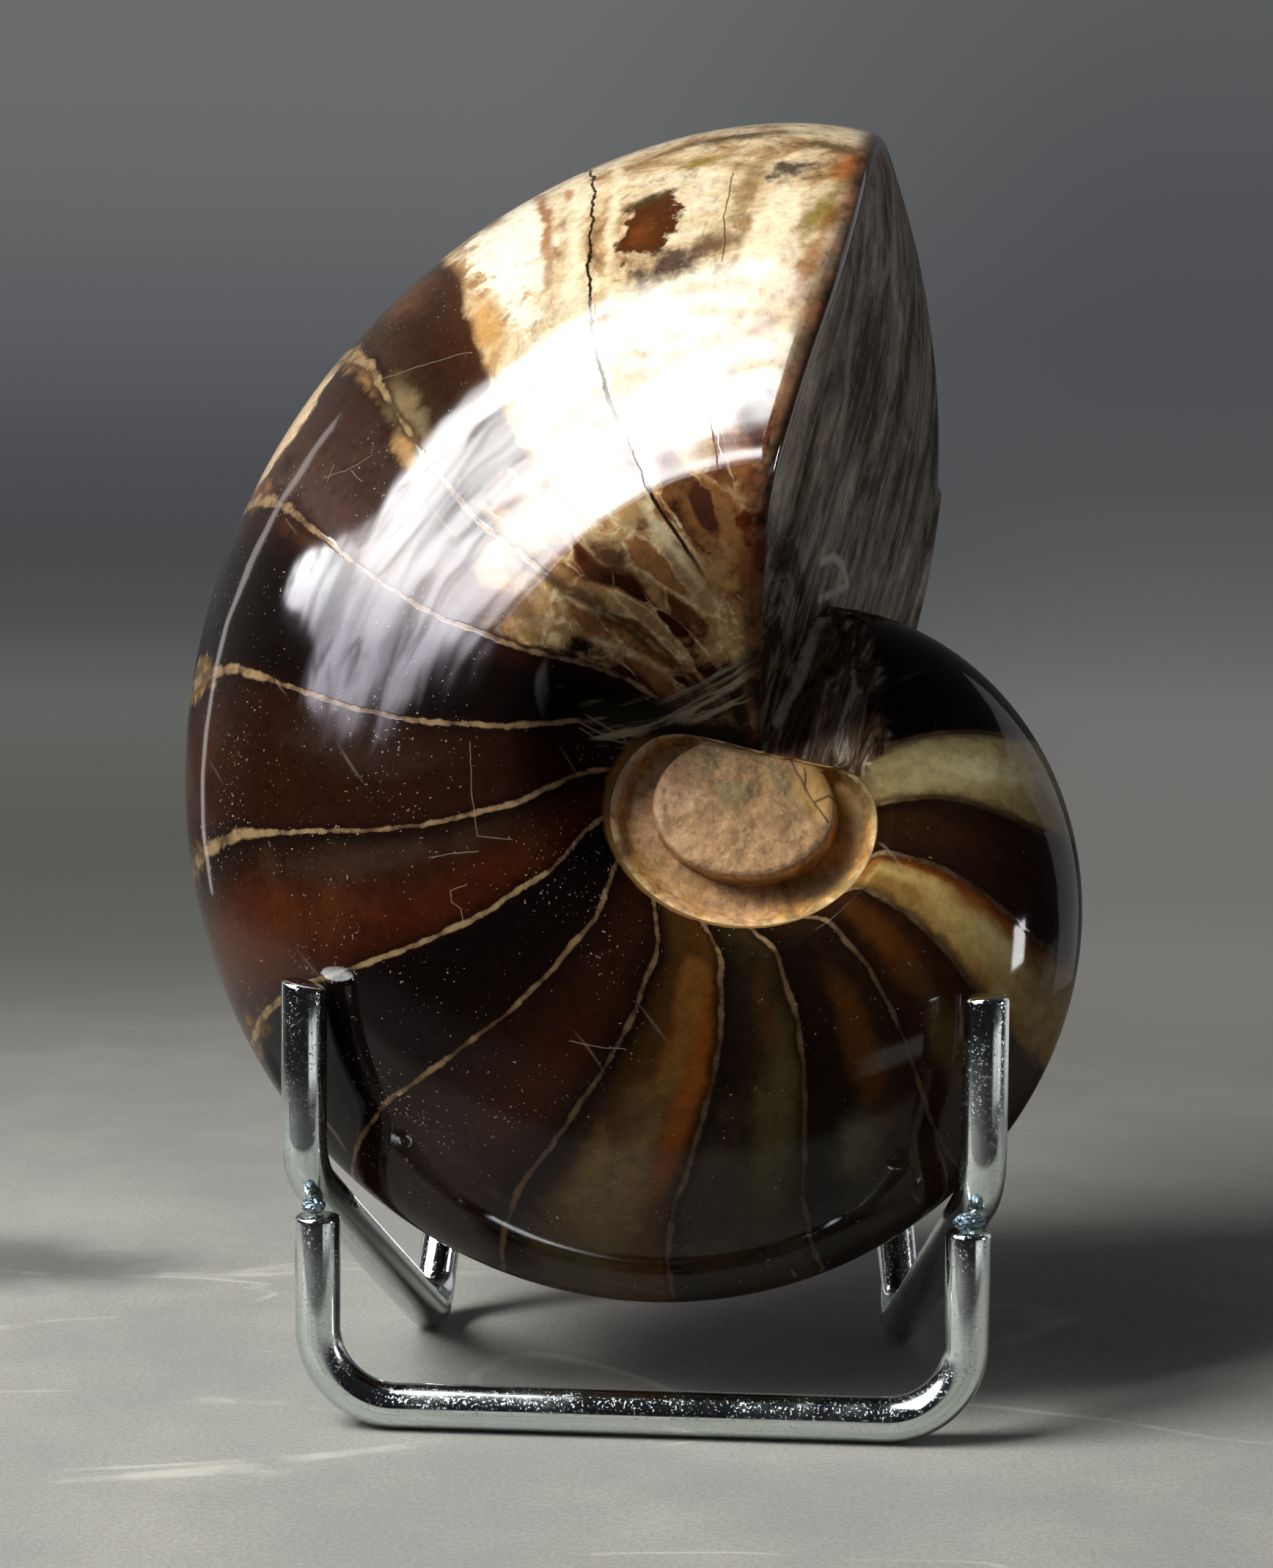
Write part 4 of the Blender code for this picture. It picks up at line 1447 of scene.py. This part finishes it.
        # Suture lines and the crack.
        lines = sheet.place("suture", {
            "Chamber": chamber, "Pitch": pitch, "Wobble": sheet.noise(stone, 380.0, 4.0, 0.6),
            "Width": self.line_width(chamber, across, ragged)})
        from_third = chamber.step(2.4, 2.6)
        colour = sheet.mix(lines["Halo"] * from_third * 0.6, colour, "140a06")
        gold = sheet.mix(ragged.step(0.38, 0.62), *self.suture)
        dull = chamber.step(6.5, 9.5, 0.15, 0.85) * across.step(1.3, 0.7, 0.55, 1.0)
        gold = sheet.mix(dull, gold, "2c1c12")
        colour = sheet.mix(lines["Line"] * from_third * 0.92, colour, gold)
        colour = sheet.mix(self.crack(chamber, across, pitch, ragged), colour, "2a1a10")

        # Specks, hairlines, cracks and scratches.
        crowd = sheet.noise(stone, 120.0, 5.0, 0.75) * chamber.step(3.0, 5.5, 0.9, 1.0)
        crowd = crowd * chamber.step(10.5, 8.0, 0.86, 1.0)
        dust = sheet.noise(stone, 3300.0, 2.0, 0.5) + (crowd - 0.5) * 0.42
        specks = dust.step(0.705, 0.75, 0.0, 0.85)
        hair = sheet.place("hairlines", {"Place": stone, "Turn": 0.9, "Density": 0.03})["Mask"]
        marks = specks.at_least(hair * 0.22)
        colour = sheet.mix(marks * 0.8, colour, "b7a896")
        for strokes in (self.cracks, self.scratches):
            colour = sheet.mix(strokes.mask(sheet, stone, bends) * shown, colour, strokes.colour)

        # Grinding marks, rough rock, the painted highlight of a streak at the joint with the face, and the
        # worn rim.
        haze, streaks = self.grinding_marks(sheet, chamber, stone, bends)
        colour = sheet.mix(haze, colour, self.ground_zone.colour)
        colour = sheet.mix(streaks, colour, "b2ac98")
        colour = sheet.mix(self.grinding.mask(sheet, stone, bends) * shown, colour, self.grinding.colour)
        combed = sheet.scaled(sheet.turned(stone, 0.25), (3.2, 0.5, 1.6))
        rock = sheet.ramp(sheet.noise(combed, 170.0, 6.0, 0.68, 1.3), self.rock)
        colour = sheet.mix(matrix, colour, rock)
        # Painted highlight: the near-white streak at the joint with the face.
        joint = self.joint_glint_streak.mask(sheet, stone, bends) * ragged.step(0.35, 0.6, 0.3, 1.0)
        colour = sheet.mix(joint, colour, self.joint_glint_streak.colour)
        brim = (across + ragged * 0.08).step(1.95, 2.0)
        colour = sheet.mix(brim, colour, sheet.mix(chamber.step(4.7, 5.7), "2c241a", "8c6a3e"))
        rim = sheet.mix(ragged.step(0.4, 0.6), "1e0c0a", "70402e")
        colour = sheet.mix(worn * 0.85, colour, rim)

        # Gloss and relief.
        rough = (matrix * 0.55).at_least(haze * 0.45).at_least(across.step(1.5, 1.85, 0.0, 0.6))
        rough = rough.at_least(sheet.noise(stone, 240.0, 4.0).step(0.45, 0.7, *self.roughness))
        brink = across + chamber.step(11.0, 14.0, 0.0, 0.3)
        polish = brink.step(1.15, 1.4, 1.0, 0.0) * chamber.step(5.6, 8.0, 1.0, 0.45)
        polish = polish * (1.0 - matrix.at_least(haze))
        height = sheet.noise(stone, 75.0, 2.0) + lines["Line"] * -0.02 + marks * 0.02
        height = height + ragged * matrix * 0.5
        bump = sheet.bump(height, 0.25, 0.6)
        return sheet.shade({
            "Base Color": colour, "Roughness": rough, "IOR": 1.5, "Specular IOR Level": 0.0, "Normal": bump,
            "Coat Weight": polish, "Coat Roughness": self.gloss_roughness, "Coat Normal": bump})


@dataclass(frozen=True)
class ApertureFaceFinish:
    """The cut face: dark rock with fine streaks that run outwards."""

    shades: Stops = ((0.38, "261e16"), (0.45, "544836"), (0.5, "80725a"), (0.55, "aa9a7e"),
                     (0.62, "e0d4ba"))
    speckle: Stops = ((0.32, (0.6, 0.58, 0.56)), (0.5, (1.0, 1.0, 1.0)), (0.7, (1.5, 1.45, 1.4)))
    roughness: tuple[float, float] = (0.42, 0.6)
    sheen_roughness: float = 0.5
    pale_streaks: Strokes = Strokes((
        ((8.8, 42.8, 21.0), (8.5, 39.9, 18.9), (8.2, 37.5, 16.6), (7.6, 33.4, 14.1)),
        ((12.2, 58.7, 6.6), (11.1, 50.6, 12.5)), ((6.0, 26.7, 13.7), (4.9, 22.7, 14.6))),
        2.8, "b4a898", 0.6, 0.3)
    # A near-white streak on the cut: a painted highlight where the streak catches the light.
    cut_glint_streaks: Strokes = Strokes((
        ((6.2, 24.7, 9.1), (7.1, 26.5, 5.6), (7.9, 27.1, 1.3), (8.3, 26.4, -2.2), (5.9, 22.0, 6.4)),),
        1.4, "e2ded4", 0.9, 0.25)

    def material(self, groups: Groups, angle: float) -> bpy.types.Material:
        """Build the material.

        Args:
            groups: The shared node groups, by name.
            angle: Direction of the face from the coil axis.

        Returns:
            The aperture face material.
        """
        sheet = MaterialSheet("aperture_rock", groups)
        stone = sheet.attribute("stone")
        share = sheet.split(sheet.attribute("wear"))[2]
        bends = sheet.stir(stone, 260.0, 3.0)
        out, _, thick = sheet.split(sheet.turned(stone, -angle))
        fibres = sheet.noise(sheet.combine(out * 55.0, 0.0, thick * 420.0), 1.0, 6.0, 0.7, 0.9)
        bands = sheet.noise(sheet.combine(out * 32.0, 5.0, thick * 110.0), 1.0, 4.0, 0.62, 0.9)
        cloud = sheet.noise(stone, 130.0, 5.0, 0.68, 0.8)
        fine = sheet.noise(stone, 800.0, 4.0, 0.7)
        both = fibres * 0.3 + bands * 0.4 + cloud * 0.3
        colour = sheet.ramp(both, self.shades)
        upper = out.step(50.0 * MM, 62.0 * MM) * thick.step(-4.0 * MM, 8.0 * MM)
        colour = sheet.mix(upper * 0.55, colour, "4a3632")
        # Painted shade: the face is darkened towards its foot by the coil axis, where it lies in shadow,
        # and loses its sheen there.
        foot = out.step(30.0 * MM, 16.0 * MM) * cloud.step(0.62, 0.42)
        colour = sheet.mix(foot * 0.9, colour, "1e1611")
        green = cloud.step(0.45, 0.65) * thick.step(6.0 * MM, -8.0 * MM)
        colour = sheet.mix(green * 0.5, colour, "5c6052")
        brown = out.step(26.0 * MM, 14.0 * MM) * cloud.step(0.5, 0.62)
        colour = sheet.mix(brown * 0.7, colour, "4a3020")
        colour = sheet.mix(0.7, colour, sheet.ramp(fine, self.speckle), "MULTIPLY")
        sheen = both.step(0.42, 0.6, 0.2, 0.8) * (1.0 - foot * 0.85)
        # The second kind, the cut streak, is a painted highlight: near white, and its sheen is raised as
        # well.
        for strokes in (self.pale_streaks, self.cut_glint_streaks):
            drawn = strokes.mask(sheet, stone, bends)
            colour = sheet.mix(drawn, colour, strokes.colour)
            sheen = sheen.at_least(drawn)
        edge = share.step(0.035, 0.01)
        lip = sheet.mix(cloud.step(0.4, 0.6), "5a3a28", "a08a70")
        colour = sheet.mix(edge * 0.7, colour, lip)
        bump = sheet.bump(fibres + fine * 0.3, 0.2, 0.6)
        return sheet.shade({
            "Base Color": colour, "Roughness": fibres.step(0.3, 0.7, *self.roughness),
            "Specular IOR Level": 0.0, "Normal": bump, "Coat Weight": sheen,
            "Coat Roughness": self.sheen_roughness, "Coat Normal": bump})


@dataclass(frozen=True)
class UmbilicusFinish:
    """Unpolished sandy filling of the umbilicus: pale rim, ochre moat and tan plug."""

    # The darker stop at 0.42, where the moat's floor meets the plug's wall, is painted shade in that
    # crease.
    rings: Stops = (
        (0.0, "e6cc98"), (0.05, "d6a458"), (0.13, "c4924a"), (0.25, "bc925a"), (0.36, "bc925e"),
        (0.42, "9c7248"), (0.455, "b48c60"), (0.49, "ccaa84"), (0.54, "b08a5e"), (0.75, "a88256"),
        (1.0, "a47e52"))
    shade: Stops = ((0.34, (0.66, 0.6, 0.54)), (0.45, (0.9, 0.87, 0.83)), (0.55, (1.03, 1.02, 1.0)),
                    (0.68, (1.25, 1.26, 1.28)))
    grain: Stops = ((0.36, (0.66, 0.6, 0.54)), (0.5, (1.0, 1.0, 1.0)), (0.64, (1.3, 1.28, 1.22)))
    warm: Glow = Glow((6.8 * MM, 2.2 * MM), (3.6 * MM, 4.0 * MM), "ca9a4a", 0.7, 1.0, 0.6)
    cracks: Strokes = Strokes((
        ((3.9, 4.8), (4.9, 2.9), (6.0, 0.7), (7.5, -1.3)), ((6.2, 0.5), (7.4, 1.3), (8.1, 0.9)),
        ((5.2, 3.8), (5.4, 1.8))), 0.3, "3a2614", 0.85)
    roughness: tuple[float, float] = (0.45, 0.75)

    def material(self, groups: Groups) -> bpy.types.Material:
        """Build the material.

        Args:
            groups: The shared node groups, by name.

        Returns:
            The umbilical filling material.
        """
        sheet = MaterialSheet("umbilical_filling", groups)
        station = sheet.split(sheet.attribute("chart"))[1]
        stone = sheet.attribute("stone")
        grain = sheet.noise(stone, 1300.0, 5.0, 0.7)
        cloud = sheet.noise(stone, 230.0, 5.0, 0.65, 0.8)
        ring = (abs(station) - 2.0) / 2.0 + (cloud - 0.5) * 0.05
        colour = sheet.ramp(ring, self.rings)
        blotch = sheet.noise(stone, 420.0, 3.0, 0.5, 0.4)
        colour = sheet.mix(blotch.step(0.5, 0.62, 0.0, 0.35), colour, "7c5a34")
        colour = sheet.mix(blotch.step(0.44, 0.34, 0.0, 0.5), colour, "d2a878")
        wide = sheet.noise(stone, 120.0, 4.0, 0.6, 0.8)
        colour = sheet.mix(wide.step(0.49, 0.4, 0.0, 0.75), colour, "7c6c44")
        colour = sheet.mix(wide.step(0.53, 0.62, 0.0, 0.7), colour, "cca47c")
        colour = sheet.mix(0.9, colour, sheet.ramp(cloud, self.shade), "MULTIPLY")
        colour = sheet.mix(0.9, colour, sheet.ramp(grain, self.grain), "MULTIPLY")
        colour = self.warm.over(sheet, colour, sheet.scaled(stone, FLAT), cloud)
        bends = sheet.stir(stone, 500.0, 3.0)
        crack = self.cracks.mask(sheet, stone, bends) * (station > 2.9)
        colour = sheet.mix(crack, colour, self.cracks.colour)
        specks = sheet.place("specks", {"Place": stone, "Spacing": 1500.0, "Size": 0.35,
                                        "Density": cloud.step(0.5, 0.75, 0.02, 0.3)})["Mask"]
        colour = sheet.mix(specks * 0.6, colour, "e6d9c0")
        return sheet.shade({"Base Color": colour, "Roughness": grain.step(0.3, 0.7, *self.roughness),
                            "Normal": sheet.bump(cloud + grain * 0.6, 0.3, 0.7)})


@dataclass(frozen=True)
class PlatedFinish:
    """Bright zinc plate over drawn wire: a mirror with fine pits and drawing lines."""

    bright: str = "dfe3e4"
    tinted: str = "c6d2cc"
    pitted: str = "6c6872"
    roughness: tuple[float, float] = (0.05, 0.2)

    def material(self, groups: Groups) -> bpy.types.Material:
        """Build the material.

        Args:
            groups: The shared node groups, by name.

        Returns:
            The plated wire material.
        """
        sheet = MaterialSheet("plated_wire", groups)
        run, level, other = sheet.split(sheet.attribute("chart"))
        drawn = sheet.noise(sheet.combine(run * 60.0, level * 6.0, other * 6.0), 1.0, 4.0, 0.6)
        place = sheet.read("ShaderNodeTexCoord", output="Object")
        pits = sheet.noise(place, 3600.0, 3.0, 0.7)
        patches = sheet.noise(place, 260.0, 3.0)
        pitted = pits.step(0.58, 0.68) * patches.step(0.4, 0.62, 0.35, 0.6)
        colour = sheet.mix(drawn.step(0.35, 0.65), self.bright, self.tinted)
        colour = sheet.mix(pitted * 0.7, colour, self.pitted)
        rough = patches.step(0.35, 0.7, *self.roughness) + pitted * 0.3
        return sheet.shade({"Base Color": colour, "Roughness": rough, "Metallic": 1.0,
                            "Normal": sheet.bump(drawn * 0.5 - pitted, 0.03, 0.5)})


@dataclass(frozen=True)
class WeldFinish:
    """Plated weld metal, bluish and rough."""

    tones: Stops = ((0.3, "2a3640"), (0.5, "5b6d78"), (0.7, "b4bfc4"))
    roughness: tuple[float, float] = (0.2, 0.5)

    def material(self, groups: Groups) -> bpy.types.Material:
        """Build the material.

        Args:
            groups: The shared node groups, by name.

        Returns:
            The weld metal material.
        """
        sheet = MaterialSheet("weld_metal", groups)
        grain = sheet.noise(sheet.read("ShaderNodeTexCoord", output="Object"), 1500.0, 5.0, 0.7)
        return sheet.shade({
            "Base Color": sheet.ramp(grain, self.tones), "Roughness": grain.step(0.3, 0.7, *self.roughness),
            "Metallic": 1.0, "Normal": sheet.bump(grain, 0.15, 0.7)})


# ------------------------------------------------------------------ studio

class Lit(Enum):
    """What a lamp is seen by."""

    GLOSS = 0
    MATT = 1


def towards(azimuth: float, elevation: float) -> Vector:
    """Return the direction to a place round the object, from its two angles in degrees."""
    turn, rise = math.radians(azimuth), math.radians(elevation)
    return Vector((math.sin(turn) * math.cos(rise), -math.cos(turn) * math.cos(rise), math.sin(rise)))


@dataclass(frozen=True)
class SoftLamp:
    """A rectangular lamp aimed at the object, at angles in degrees."""

    name: str
    azimuth: float
    elevation: float
    distance: float
    width: float
    height: float
    radiance: float
    lights: Lit
    colour: Colour = (1.0, 1.0, 1.0)

    def hang(self, target: Vector) -> bpy.types.Object:
        """Hang the lamp round a target.

        Args:
            target: The point it is aimed at.

        Returns:
            The lamp.
        """
        lamp = bpy.data.lights.new(self.name, "AREA")
        lamp.shape = "RECTANGLE"
        lamp.size, lamp.size_y = self.width, self.height
        lamp.energy = self.radiance * math.pi * self.width * self.height
        lamp.color = self.colour
        holder = bpy.data.objects.new(self.name, lamp)
        bpy.context.scene.collection.objects.link(holder)
        away = towards(self.azimuth, self.elevation)
        holder.location = target + away * self.distance
        holder.rotation_mode = "QUATERNION"
        holder.rotation_quaternion = away.to_track_quat("Z", "Y")
        holder.visible_camera = False
        holder.visible_diffuse = self.lights is Lit.MATT
        holder.visible_glossy = self.lights is Lit.GLOSS
        return holder


@dataclass
class WindowPane:
    """A bright pane with soft, slanting edges that only shows in reflections."""

    azimuth: float = -62.0
    elevation: float = 45.0
    distance: float = 0.6
    half_size: float = 0.5
    radiance: float = 24.0
    left_slope: float = 0.12
    left_foot: float = -0.24
    left_edge: float = -0.145
    right_edge: float = 0.262
    right_slope: float = -0.47
    top_edge: float = 0.44
    softness: tuple[float, float, float, float] = (0.05, 0.035, 0.09, 0.05)

    def place(self, target: Vector) -> bpy.types.Object:
        """Place the pane round a target.

        Args:
            target: The point it faces.

        Returns:
            The pane.
        """
        away = towards(self.azimuth, self.elevation)
        right = (-away).cross(Vector((0.0, 0.0, 1.0))).normalized()
        upward = right.cross(-away)
        centre = target + away * self.distance
        bm = bmesh.new()
        bmesh.ops.create_grid(bm, x_segments=8, y_segments=8, size=self.half_size)
        pane_layer = bm.verts.layers.float_vector.new("pane")
        for vert in bm.verts:
            vert[pane_layer] = vert.co
            vert.co = centre + right * vert.co.x + upward * vert.co.y
        pane = finish_piece("window_pane", bm, math.radians(30.0))
        pane.data.materials.append(self.material())
        pane.visible_camera = pane.visible_diffuse = pane.visible_shadow = False
        return pane

    def material(self) -> bpy.types.Material:
        """Return the glowing material, clear outside the window's outline."""
        made = bpy.data.materials.new("window_light")
        made.use_nodes = True
        made.node_tree.nodes.clear()
        sheet = Sheet(made.node_tree)
        pane = sheet.attribute("pane")
        across, up, _ = sheet.split(pane)
        streaky = sheet.noise(sheet.scaled(pane, (9.0, 3.0, 1.0)), 1.0, 4.0, 0.6, 1.2)
        stir = (streaky - 0.5) * 0.16
        foot = up.step(-0.09, -0.16) * up.step(-0.26, -0.2)
        left = across - (up * self.left_slope + foot * self.left_foot + self.left_edge)
        flare = self.right_edge + up.step(-0.06, -0.2, 0.0, 0.12)
        right = flare + up * self.right_slope - across
        low = up + across.step(0.15, 0.34, 0.37, 0.26)
        mask = None
        for gap, soft in zip((left, right, low, self.top_edge - up), self.softness):
            edge = (gap + stir * (soft * 12.0)).step(0.0, soft)
            mask = edge if mask is None else mask * edge
        bright = up.step(-0.3, -0.12, 0.5, 1.0) * up.step(0.3, 0.2, 0.42, 1.0)
        bright = bright * streaky.step(0.36, 0.56, 0.5, 1.0)
        clouds = sheet.noise(sheet.scaled(pane, (7.0, 5.0, 1.0)), 1.0, 5.0, 0.7, 1.6)
        bright = bright * clouds.step(0.38, 0.47, 0.35, 1.0)
        tint = sheet.mix(up.step(-0.26, -0.12), "dad4e0", "ffffff")
        glow = sheet.read("ShaderNodeEmission", {"Color": tint, "Strength": bright * self.radiance})
        clear = sheet.read("ShaderNodeBsdfTransparent")
        blend = sheet.read("ShaderNodeMixShader", {0: mask, 1: clear, 2: glow})
        sheet.node("ShaderNodeOutputMaterial", {"Surface": blend})
        return made


@dataclass
class Studio:
    """Camera, lamps, surroundings and the pale table."""

    stand: Vector
    groups: Groups
    lens: float = 69.4
    camera_place: Vector = field(default_factory=lambda: Vector((18.4, -258.4, 79.1)) * MM)
    yaw: float = math.radians(-4.22)
    pitch: float = math.radians(4.83)
    roll: float = math.radians(0.46)
    target: Vector = field(default_factory=lambda: Vector((0.0, 0.0, 65.0)) * MM)
    lamps: tuple[SoftLamp, ...] = (
        SoftLamp("window", -58.0, 45.0, 0.6, 0.28, 0.32, 20.0, Lit.MATT, (1.0, 0.985, 0.96)),
        SoftLamp("right_strip", 78.0, 0.4, 0.3, 0.036, 0.048, 26.0, Lit.GLOSS),
        SoftLamp("left_strip", -121.0, 10.0, 0.5, 0.03, 0.4, 1.7, Lit.GLOSS, (1.0, 0.93, 0.92)),
        SoftLamp("right_rear", 126.0, 11.0, 0.5, 0.3, 0.46, 0.6, Lit.GLOSS, (0.97, 0.9, 0.96)))
    left_wall: Stops = (
        (0.0, "a5a39a"), (0.4, "84837c"), (0.411, "7a7973"), (0.425, "676764"), (0.447, "585854"),
        (0.459, "5c5c59"), (0.471, "636361"), (0.483, "505151"), (0.495, "46484a"), (0.507, "4a4b4e"),
        (0.532, "5a5c60"), (0.556, "676868"), (0.6, "6c6d6b"), (1.0, "3a3a3c"))
    right_wall: Stops = (
        (0.0, "a5a39a"), (0.4, "7c7c78"), (0.423, "7b7b77"), (0.44, "70706d"), (0.471, "6e6f6c"),
        (0.483, "616261"), (0.495, "575958"), (0.507, "505254"), (0.532, "4d4f52"), (0.556, "515356"),
        (0.6, "5c5e5f"), (1.0, "3a3a3c"))
    gloom: Stops = ((0.0, "3c3b38"), (0.42, "2c2b2a"), (0.48, "1e1e20"), (0.55, "18181c"), (0.7, "1c1c20"),
                    (1.0, "262629"))
    fill: Colour = (0.046, 0.046, 0.048)
    table_radius: float = 0.6
    table_colour: str = "a7a79f"
    table_reach: tuple[float, float] = (0.1, 0.3)
    # A painted shadow on the table's far left, cast by something out of view.
    far_painted_shadow: Glow = Glow((-0.07, 0.022), (0.036, 0.017), "403f3d", 0.75, 1.0, 0.9)

    def set_camera(self) -> None:
        """Place the camera at the object's viewing angle."""
        data = bpy.data.cameras.new("view")
        data.lens = self.lens
        data.clip_start, data.clip_end = 0.01, 20.0
        camera = bpy.data.objects.new("view", data)
        bpy.context.scene.collection.objects.link(camera)
        forward = Vector((math.sin(self.yaw) * math.cos(self.pitch),
                          math.cos(self.yaw) * math.cos(self.pitch), -math.sin(self.pitch)))
        level = Vector((math.cos(self.yaw), -math.sin(self.yaw), 0.0))
        upward = level.cross(forward)
        right = level * math.cos(self.roll) + upward * math.sin(self.roll)
        top = upward * math.cos(self.roll) - level * math.sin(self.roll)
        axes = Matrix((right, top, -forward)).transposed()
        camera.matrix_world = Matrix.Translation(self.stand + self.camera_place) @ axes.to_4x4()
        bpy.context.scene.camera = camera

    def set_lamps(self) -> None:
        """Hang the window-like key lamp and the narrow side lamps."""
        for lamp in self.lamps:
            lamp.hang(self.target)
        WindowPane().place(self.target)

    def set_surroundings(self) -> None:
        """Make the dim grey room, with an even fill for diffuse light."""
        world = bpy.data.worlds.new("room")
        bpy.context.scene.world = world
        world.use_nodes = True
        world.node_tree.nodes.clear()
        sheet = Sheet(world.node_tree)
        across, back, height = sheet.split(sheet.read("ShaderNodeTexCoord", output="Generated"))
        level = (height + 1.0) * 0.5
        left_wall, right_wall = sheet.ramp(level, self.left_wall), sheet.ramp(level, self.right_wall)
        wall = sheet.mix(across.step(-0.13, 0.1), left_wall, right_wall)
        gloom = sheet.ramp(level, self.gloom)
        beside = across.step(0.52, 0.66) * across.step(0.99, 0.95)
        beside = beside * (level.step(0.42, 0.44) * level.step(0.495, 0.48))
        gloom = sheet.mix(beside, gloom, "f4f4f2")
        seen = sheet.mix(back.step(-0.1, 0.6), gloom, wall)
        path = sheet.outputs("ShaderNodeLightPath")
        through = path["Is Camera Ray"].at_least(path["Is Transmission Ray"])
        colour = sheet.mix(through, sheet.mix(path["Is Glossy Ray"], self.fill, seen), wall)
        backdrop = sheet.read("ShaderNodeBackground", {"Color": colour, "Strength": 1.0})
        out = sheet.node("ShaderNodeOutputWorld", {"Surface": backdrop})
        out.is_active_output = True

    def lay_table(self) -> None:
        """Lay the pale table, which fades into the room with distance."""
        bm = bmesh.new()
        bmesh.ops.create_circle(bm, cap_ends=True, segments=96, radius=self.table_radius)
        bmesh.ops.translate(bm, vec=(0.0, 0.0, -0.02 * MM), verts=bm.verts)
        table = finish_piece("table", bm, math.radians(30.0))
        sheet = MaterialSheet("table_top", self.groups)
        place = sheet.read("ShaderNodeTexCoord", output="Object")
        mottle = sheet.noise(place, 35.0, 4.0, 0.6)
        grain = sheet.noise(place, 2200.0, 3.0)
        colour = sheet.mix(mottle.step(0.35, 0.7), "959590", self.table_colour)
        colour = sheet.mix(grain.step(0.38, 0.62, 0.0, 0.3), colour, "6f6d68")
        side, depth, _ = sheet.split(place)
        # Painted shade: the table is darker behind the stand, most of all towards the right.
        back = depth.step(0.03, 0.12) * side.step(-0.12, 0.05, 0.25, 0.55)
        colour = sheet.mix(back, colour, "5c5b57")
        # Painted shadow at the table's far left.
        colour = self.far_painted_shadow.over(sheet, colour, sheet.scaled(place, FLAT), mottle)
        veins = abs(sheet.noise(sheet.scaled(place, (0.7, 1.6, 1.0)), 11.0, 3.0, 0.45, 1.2) - 0.5)
        pale = veins.step(0.0, 0.01, 0.45, 0.0) * mottle.step(0.45, 0.6) * depth.step(0.05, 0.01)
        colour = sheet.mix(pale, colour, "dedcd2")
        colour = sheet.mix(depth.step(-0.068, -0.088), colour, "222221")
        table.data.materials.append(sheet.shade({"Base Color": colour, "Roughness": 0.75}))
        faded = sheet.vector("LENGTH", place, output="Value").step(*self.table_reach)
        clear = sheet.read("ShaderNodeBsdfTransparent")
        solid = Flow(sheet, sheet.shader.outputs[0])
        blend = sheet.read("ShaderNodeMixShader", {0: faded, 1: solid, 2: clear})
        sheet.feed(sheet.tree.nodes["Material Output"].inputs["Surface"], blend)

    def set_up(self) -> None:
        """Set up everything round the object."""
        self.set_camera()
        self.set_lamps()
        self.set_surroundings()
        self.lay_table()
        bpy.context.scene.view_settings.view_transform = "Standard"


def wear_and_ride(piece: bpy.types.Object, materials: Sequence[bpy.types.Material], slot: Slot,
                  node: str) -> None:
    """Give a piece its materials and let it stand for a node of the frame.

    Args:
        piece: The finished piece.
        materials: Its materials, in order of material index.
        slot: The record's material slot; not used.
        node: The node it stands for.
    """
    for material in materials:
        piece.data.materials.append(material)
    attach(piece, "root")
    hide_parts(node)
    LOG.info("%s: %d faces, stands for %s", piece.name, len(piece.data.polygons), node)


def main() -> None:
    """Build the studio, the fossil and its stand."""
    logging.basicConfig(level=logging.INFO, format="%(name)s %(message)s")
    low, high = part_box("foot_wire")
    stand = Vector(((low.x + high.x) * 0.5, (low.y + high.y) * 0.5, 0.0))
    groups = {"patch": patch_group(), "suture": suture_group(), "specks": speck_group(),
              "hairlines": hairline_group(), "stroke": stroke_group()}
    Studio(stand, groups).set_up()

    nautilus = Nautilus(stand)
    shell_materials = (PolishedShellFinish().material(groups),
                       ApertureFaceFinish().material(groups, nautilus.conch.aperture_angle),
                       UmbilicusFinish().material(groups))
    wear_and_ride(nautilus.build(), shell_materials, Slot.FOSSIL, "fossil")

    plate = PlatedFinish().material(groups)
    wear_and_ride(EaselWire(stand).build(), (plate,), Slot.WIRE, "easel_wire")
    wear_and_ride(FootWire(stand).build(), (plate,), Slot.WIRE, "foot_wire")
    weld = WeldFinish().material(groups)
    for side, place, radii in (("left", (-28.6, -0.9, 19.9), (1.1, 1.0, 0.75)),
                               ("right", (28.4, -0.9, 19.9), (1.5, 1.1, 0.8))):
        bead = WeldBead(f"weld_bead_{side}", stand, Vector(place) * MM, Vector(radii) * MM)
        wear_and_ride(bead.build(), (weld,), Slot.WELD, f"weld_{side}")


if __name__ == "__main__":
    main()
